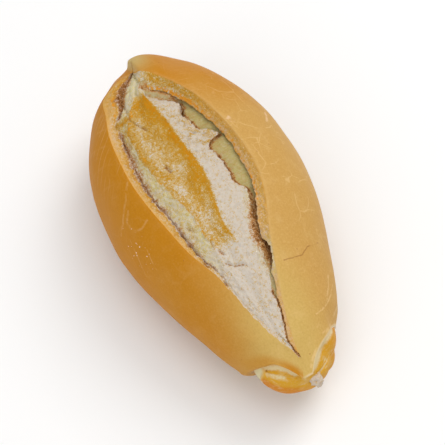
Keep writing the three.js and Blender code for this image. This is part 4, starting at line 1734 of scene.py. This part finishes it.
    def _stepped(self, points: np.ndarray) -> np.ndarray:
        """Lets the left crust lie lower than the right flap at the far end, where the slash runs out.

        Args:
            points: All points of the sections.

        Returns:
            The points, moved.
        """
        x, y, z = points[..., 0], points[..., 1], points[..., 2]
        side = ease(-y - 1.2 * ease(z, 34.0, 38.0), 1.8, 3.1)
        step = ease(-x, 50.0, 58.0) * ease(z, 14.0, 34.0)
        moved = points.copy()
        moved[..., 2] -= self.far_step * step * side
        moved[..., 0] += 0.4 * self.far_step * step * side
        return moved

    def rings(self) -> tuple[np.ndarray, dict[str, np.ndarray]]:
        """All sections of the skin, with what is painted on them.

        Returns:
            The sections, and one grid of values for each painted name.
        """
        x = self.stations()
        crust = self.crust_part(x)
        slash, across = self.slash_part(x)
        crust_paint = self._crust_paint(crust)
        slash_paint = SlashPaint(self.slash, self.torn, slash, across).grids()
        whole = np.concatenate([crust, self._torn_open(slash, across)], axis=1)
        whole = self._stepped(self._uneven(whole))
        behind = self._closing(whole[-1])
        left_columns = np.arange(slash.shape[1]) < 2
        grids = {}
        for name in {**crust_paint, **slash_paint}:
            outer = crust_paint.get(name, np.zeros(crust.shape[:2]))
            beside = np.where(left_columns, outer[:, -1:], outer[:, :1])
            grid = np.hstack([outer, slash_paint.get(name, beside)])
            grids[name] = np.concatenate([grid, np.repeat(grid[-1:], len(behind), axis=0)])
        grids["torn_rim"] = self._rim_paint(whole[-1], len(behind))
        return np.concatenate([whole, behind]), grids

    def _closing(self, edge: np.ndarray) -> np.ndarray:
        """Sections that roll round the layer's edge and close the skin inside the tucked end.

        Args:
            edge: The last section.

        Returns:
            The sections behind it.
        """
        heart = np.array(self.heart)
        inward = heart - edge
        inward /= np.linalg.norm(inward, axis=1, keepdims=True)
        radius = self.layer.roll(edge)[:, None]
        ahead = np.array([1.0, 0.0, 0.0])
        behind = []
        for k in range(1, self.rim_rows + 1):
            turn = math.pi * k / self.rim_rows
            behind.append(edge + radius * (inward * (1 - math.cos(turn)) + ahead * math.sin(turn)))
        last = behind[-1]
        for k in range(1, self.closing_rows + 1):
            behind.append(blend(last, heart, 0.8 * k / self.closing_rows))
        return np.array(behind)

    def _rim_paint(self, edge: np.ndarray, extra: int) -> np.ndarray:
        """How pale the layer's edge is: pale where it was torn, on the right, and baked on the left.

        Args:
            edge: The last section.
            extra: How many sections follow it.

        Returns:
            One grid of values.
        """
        grid = np.zeros((self.rows + extra, len(edge)))
        right = ease(edge[:, 1], -4.5, -1.5) * ease(edge[:, 2], 6.0, 14.0)
        for k in range(1, extra + 1):
            turned = k / self.rim_rows
            grid[self.rows + k - 1] = blend(ease(turned, 0.45, 1.0), ease(turned, 0.0, 0.3), right)
        grid[self.rows - 1] = 0.5 * right
        return grid

    def _crust_paint(self, crust: np.ndarray) -> dict[str, np.ndarray]:
        """What is painted on the crust.

        Args:
            crust: The crust's points.

        Returns:
            One grid for each name.
        """
        x, y, z = crust[..., 0], crust[..., 1], crust[..., 2]
        columns = np.arange(crust.shape[1])
        from_slash = np.minimum(columns, crust.shape[1] - columns)
        round_left = 1 - columns / crust.shape[1]
        toasted = ease(self.stations()[:, None], 57.9, 60.4) * ease(round_left, 0.0, 0.02)
        toasted = toasted * (1 - 0.5 * ease(round_left, 0.05, 0.13)) * (1 - ease(round_left, 0.16, 0.3))
        # left and far feed browning: the -Y flank and far end are browner, partly with painted shade; toasted
        # is the browned folded edge of the layer.
        left, far = ease(-y, -4.0, 14.0), ease(-x, 14.0, 52.0)
        paler = 0.24 * ease(x, -2.0, 26.0) + 0.5 * ease(x, 28.0, 56.0) * ease(y, -20.0, -6.0)
        pointed_end = ease(x, 6.0, 46.0) * ease(-np.abs(y + 3.0), -19.0, -4.0)
        # right_flank and the -Y silhouette term give bloom its painted sheen; far_flap gives the far flap's
        # pinkish tan.
        right_flank = ease(y, 18.0, 32.0) * ease(-z, -36.0, -14.0)
        far_flap = ease(-x, 40.0, 50.0) * ease(y, 2.0, 6.0)
        flap_tip = ease(-x, 48.0, 60.0) * ease(-y, -6.0, 2.0) * ease(y, -5.0, -3.6) * ease(z, 25.0, 35.0)
        # rim is a painted highlight along the crust's edge by the slash, stronger on the +Y side.
        rim = np.where(y > 0, 0.16, 0.06) * swell(from_slash, 0.0, 0.8)
        return {
            "browning_and_shade": 0.9 * toasted + left * (1 - paler) + far * (1 - left),
            "honey": 0.8 * pointed_end * (1 - np.minimum(toasted, 1.0)),
            "sheen_and_tan": 0.8 * right_flank + 0.08 * ease(-y, 26.0, 34.0) + 0.3 * far_flap,
            "underside": ease(-z, -3.0, 0.0),
            "rim": rim * ease(self.slash.openness(x), 0.1, 0.5),
            "untoasted": 0.8 * flap_tip,
        }

    def build(self, crust: bpy.types.Material, crumb: bpy.types.Material) -> bpy.types.Object:
        """Makes the roll's skin as one closed piece.

        Args:
            crust: Finish of the crust.
            crumb: Finish of the torn inside.

        Returns:
            The finished object.
        """
        rings, grids = self.rings()
        far_point = (self.loaf.far_end, -1.0, self.loaf.pole_height)
        piece = skinned_sphere("roll_skin", (far_point, self.heart), rings, grids, (crust, crumb))
        crumbly = piece.data.attributes["crumbly"].data
        for face in piece.data.polygons:
            face.material_index = int(all(crumbly[v].value > 0.5 for v in face.vertices))
        return piece


@dataclass
class TuckedEnd:
    """The end of the rolled-up dough, folded in under the outer layer.

    Attributes:
        heart: A point inside it that sees all of its surface.
        lumps: Middle, radii and turn about Z in radians, of each lump.
        softness: How far the lumps melt into each other.
        folds: Lines with their height, and their paleness from -1 for gold to 1 for pale.
        arcs: Fine pale creases.
        pits: Small pits, sunk a little and darkened with painted shade.
        swelling: Noise that makes it a little uneven.
        columns: Columns of its mesh.
        rows: Rows of its mesh.
    """

    heart: Point = (48.5, 2.0, 17.5)
    lumps: tuple[tuple[Point, Point, float], ...] = (
        ((48.2, -1.2, 19.0), (12.9, 12.4, 11.9), 0.0),
        ((51.5, 0.8, 17.6), (9.7, 9.7, 9.7), 0.0),
        ((48.4, 8.8, 19.4), (8.0, 5.8, 9.8), -0.5),
        ((51.3, 7.5, 13.8), (6.0, 5.6, 6.8), -0.4),
    )
    softness: float = 0.3
    folds: tuple[tuple[Stroke, float, float], ...] = (
        (Stroke(((51.6, -11.4, 24.4), (53, -10, 25.8), (54.4, -8.2, 26.8), (56.4, -6.4, 26.9),
                 (58.2, -4.8, 26)), 1.15, 0.4), -0.1, 1.0),
        (Stroke(((53.2, -11.3, 23.2), (54.6, -10.2, 23.8), (55.8, -9.2, 24.1),
                 (56.9, -8.2, 24.3)), 1.25, 0.6), -0.3, 0.78),
        (Stroke(((52.6, -11.6, 24), (54.4, -9.9, 25), (55.8, -8.4, 25.4), (57.4, -6.6, 25.3),
                 (59, -4.6, 24.4)), 0.42, 0.3), 0.7, -1.0),
        (Stroke(((51.8, -12.3, 25.2), (52.4, -12.7, 22.7), (52.7, -12.9, 19.5)), 0.5), 0.8, -1.0),
        (Stroke(((60.6, -2, 24.6), (60, 0.6, 25.4), (58, 2.6, 26), (56, 4.6, 27), (53.4, 8, 27.4),
                 (50.4, 12, 26.8)), 1.3), -0.1, 1.0),
        (Stroke(((59.8, 3.2, 22.6), (57.8, 6.8, 22.4), (56.2, 9.2, 21.6), (55.2, 10.6, 21)), 0.4), -0.7, 1.0),
    )
    arcs: tuple[Stroke, ...] = (
        Stroke(((55, -11.5, 22.4), (56.9, -10.4, 21.4), (58.3, -9.1, 21)), 0.3),
        Stroke(((59.4, -5.6, 20.6), (60.4, -3.9, 21.3), (61.2, -2, 21.7)), 0.35),
        Stroke(((54.3, 11.6, 20.8), (55.6, 9.4, 22.8), (56.8, 7.3, 23.6), (58, 5.4, 23.4)), 0.4, 0.4),
        Stroke(((58.4, 6.4, 19.8), (57.2, 8, 17.6), (57, 8.6, 15)), 0.4),
        Stroke(((57.4, 9.1, 20.2), (58.5, 7.3, 21.4), (59.2, 5.8, 21.6)), 0.45, 0.4),
    )
    pits: tuple[Stroke, ...] = (
        Stroke(((61.2, -1.1, 22.1), (61.2, -0.9, 21.6)), 0.35),
        Stroke(((52, -11.9, 25), (52.6, -11.5, 24.2), (53.8, -10.8, 24.2)), 0.16),
    )
    swelling: Grain = Grain(9.0, 3.0, 2)
    columns: int = 240
    rows: int = 180

    def distances(self, points: np.ndarray) -> np.ndarray:
        """How far points lie outside each lump, in millimetres.

        Args:
            points: Places.

        Returns:
            One value for each lump and point.
        """
        found = []
        for middle, radii, turn in self.lumps:
            cos, sin = math.cos(turn), math.sin(turn)
            x, y, z = np.moveaxis(points - np.array(middle), -1, 0)
            scaled = np.stack([x * cos + y * sin, y * cos - x * sin, z], axis=-1) / np.array(radii)
            found.append((np.linalg.norm(scaled, axis=-1) - 1) * min(radii))
        return np.array(found)

    def surface(self, way: np.ndarray) -> np.ndarray:
        """Points of the lumps' joined surface, found by halving a distance again and again.

        Args:
            way: Directions from the heart.

        Returns:
            The point that lies in each direction.
        """
        heart = np.array(self.heart)
        low, high = np.zeros(way.shape[:2]), np.full(way.shape[:2], 30.0)
        for _ in range(22):
            middle = (low + high) / 2
            apart = self.distances(heart + way * middle[..., None])
            joined = -self.softness * np.log(np.exp(-apart / self.softness).sum(axis=0))
            low, high = np.where(joined < 0, middle, low), np.where(joined < 0, high, middle)
        return heart + way * low[..., None]

    def creased(self, points: np.ndarray) -> tuple[np.ndarray, np.ndarray]:
        """Works out the folds and creases.

        Args:
            points: Points of the surface.

        Returns:
            How far each point is lifted, in millimetres, and how pale it is, from 0 to 1.
        """
        nearest, second = np.sort(self.distances(points), axis=0)[:2]
        seam = swell(second - nearest, 0.0, 0.5) * ease(-points[..., 2], -16.0, -13.0)
        lift, crease = 0.3 * self.swelling.over(points) - 0.15 - 0.5 * seam, seam
        for fold, height, paleness in self.folds:
            near = fold.nearness(points)
            lift = lift + height * near
            crease = np.maximum(crease + near * min(paleness, 0.0), near * max(paleness, 0.0))
        for arc in self.arcs:
            near = arc.nearness(points)
            crease = np.maximum(crease, 0.6 * near)
            lift = lift - 0.25 * near
        return lift, crease

    def build(self, finish: bpy.types.Material) -> bpy.types.Object:
        """Makes the tucked end as one closed piece.

        Args:
            finish: Its finish.

        Returns:
            The finished object.
        """
        way = directions(self.rows, self.columns)
        points = self.surface(way)
        lift, crease = self.creased(points)
        x, y, z = np.moveaxis(points, -1, 0)
        # pit: painted shade in the small pits and under the layer's edge; they are also sunk a little.
        pit = np.maximum.reduce([stroke.nearness(points) for stroke in self.pits])
        left_side = ease(-y, 11.6, 12.8) * ease(-x, -53.2, -51.6)
        below = ease(-z, -23.0, -19.0) * (0.4 + 0.6 * ease(-y, 1.0, 7.0))
        orange = np.maximum(below, 0.45 * ease(y, 5.0, 12.0))
        points = points + way * (lift - 0.5 * pit)[..., None]
        points[..., 2] = np.maximum(points[..., 2], 0.3)
        top, bottom = ((*self.heart[:2], points[k, :, 2].mean()) for k in (0, -1))
        painted = {"crease": crease, "orange": orange, "pit": pit, "green": 0.9 * left_side}
        return skinned_sphere("tucked_end", (top, bottom), points, painted, (finish,))


@dataclass
class CrumbNub:
    """A small knob of white crumb, squeezed out beside the tucked end.

    Attributes:
        middle: Station, place across and height of its middle, in millimetres.
        radii: Its radii, in millimetres.
        tail: Where its small tail would end.
        rough: Noise of its surface.
        columns: Columns of its mesh.
        rows: Rows of its mesh.
    """

    middle: Point = (60.4, 1.5, 20.8)
    radii: Point = (2.1, 2.1, 2.7)
    tail: Point = (61.8, 2.6, 17.6)
    rough: Grain = Grain(1.5, 8.0, 3)
    columns: int = 64
    rows: int = 44

    def build(self, finish: bpy.types.Material) -> bpy.types.Object:
        """Makes the knob as one closed piece.

        Args:
            finish: Its finish.

        Returns:
            The finished object.
        """
        way = directions(self.rows, self.columns)
        points = np.array(self.middle) + way * np.array(self.radii)
        toward = np.array(self.tail) - np.array(self.middle)
        pull = ease(way @ (toward / np.linalg.norm(toward)), 0.75, 1.0)
        points = points + toward * 0.35 * pull[..., None]
        points = points + way * (0.6 * self.rough.over(points))[..., None]
        top, bottom = (tuple(points[k].mean(axis=0)) for k in (0, -1))
        blank = np.zeros((self.rows, self.columns))
        painted = {"pink": blank + 0.2}
        for name in ("toast", "damp_and_shade", "depth", "scorch", "ochre", "combed", "streaked"):
            painted[name] = blank
        return skinned_sphere("crumb_nub", (top, bottom), points, painted, (finish,))


# ---- The studio ----


@dataclass(frozen=True)
class Studio:
    """Table, lights and camera.

    Attributes:
        azimuth: Camera's way round the roll, in degrees.
        elevation: Camera's height above the horizon, in degrees.
        lens: Focal length, in millimetres.
        distance: From the camera to the aim, in metres.
        aim: The point that the camera looks at, in metres.
        shift: Shift of the frame, as a share of its width.
        lamps: Name, place in metres, side in metres, power in watts and tint of each soft light.
        room: Strength of the room's own light.
    """

    azimuth: float = 63.0
    elevation: float = 60.0
    lens: float = 120.0
    distance: float = 0.479
    aim: Point = (STATION_ZERO * MM, 0.0, 20 * MM)
    shift: tuple[float, float] = (1.0 / 445, 6.5 / 445)
    lamps: tuple[tuple[str, Point, float, float, Point], ...] = (
        ("key", (-0.28, 0.72, 1.0), 0.7, 5.8, (1.0, 0.98, 0.95)),
        ("fill", (0.55, -0.75, 0.8), 0.9, 3.4, (0.96, 0.98, 1.0)),
        ("top", (0.0, 0.0, 1.2), 0.9, 3.6, (1.0, 1.0, 1.0)),
    )
    room: float = 0.5

    def back(self) -> Vector:
        """Direction from the aim to the camera."""
        a, e = math.radians(self.azimuth), math.radians(self.elevation)
        return Vector((math.sin(a) * math.cos(e), -math.cos(a) * math.cos(e), math.sin(e)))

    def camera(self) -> bpy.types.Object:
        """Makes the camera and gives it to the scene.

        Returns:
            The camera.
        """
        data = bpy.data.cameras.new("camera")
        data.lens = self.lens
        data.sensor_width = 36.0
        data.sensor_fit = "HORIZONTAL"
        data.shift_x, data.shift_y = self.shift
        data.clip_start = 0.01
        camera = placed("camera", data)
        camera.location = Vector(self.aim) + self.back() * self.distance
        camera.rotation_euler = self.back().to_track_quat("Z", "Y").to_euler()
        bpy.context.scene.camera = camera
        return camera

    def table(self, finish: bpy.types.Material) -> bpy.types.Object:
        """Makes the table top.

        Args:
            finish: Its finish.

        Returns:
            The object.
        """
        bm = bmesh.new()
        bmesh.ops.create_grid(bm, x_segments=8, y_segments=8, size=2.0)
        mesh = bpy.data.meshes.new("table")
        bm.to_mesh(mesh)
        bm.free()
        mesh.materials.append(finish)
        return placed("table", mesh)

    def lamp(self, name: str, place: Point, size: float, power: float, tint: Point) -> bpy.types.Object:
        """Makes a square soft light that faces the roll.

        Args:
            name: Its name.
            place: Where it hangs, in metres.
            size: Length of its side, in metres.
            power: Its power, in watts.
            tint: Its colour.

        Returns:
            The light.
        """
        data = bpy.data.lights.new(name, "AREA")
        data.size = size
        data.energy = power
        data.color = tint
        lamp = placed(name, data)
        lamp.location = place
        lamp.rotation_euler = (Vector(place) - Vector(self.aim)).to_track_quat("Z", "Y").to_euler()
        return lamp

    def light(self) -> None:
        """Hangs the lights and sets the room's own light."""
        for lamp in self.lamps:
            self.lamp(*lamp)
        world = bpy.data.worlds.new("room")
        world.use_nodes = True
        back = world.node_tree.nodes["Background"]
        back.inputs["Color"].default_value = (1.0, 1.0, 1.0, 1.0)
        back.inputs["Strength"].default_value = self.room
        bpy.context.scene.world = world
        bpy.context.scene.view_settings.view_transform = "Standard"


def main() -> None:
    """Builds the roll, dresses it and sets the studio."""
    logging.basicConfig(level=logging.INFO, format="%(message)s")
    crumb = CrumbFinish().build()
    pieces = [Roll().build(CrustFinish().build(), crumb), TuckedEnd().build(TuckFinish().build())]
    pieces.append(CrumbNub().build(crumb))
    for piece in pieces:
        LOG.info("%s: %d faces", piece.name, len(piece.data.polygons))
        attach(piece, "root")
        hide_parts("bread_roll")
    studio = Studio()
    studio.table(TableFinish().build())
    studio.light()
    studio.camera()
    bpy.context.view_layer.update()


if __name__ == "__main__":
    main()
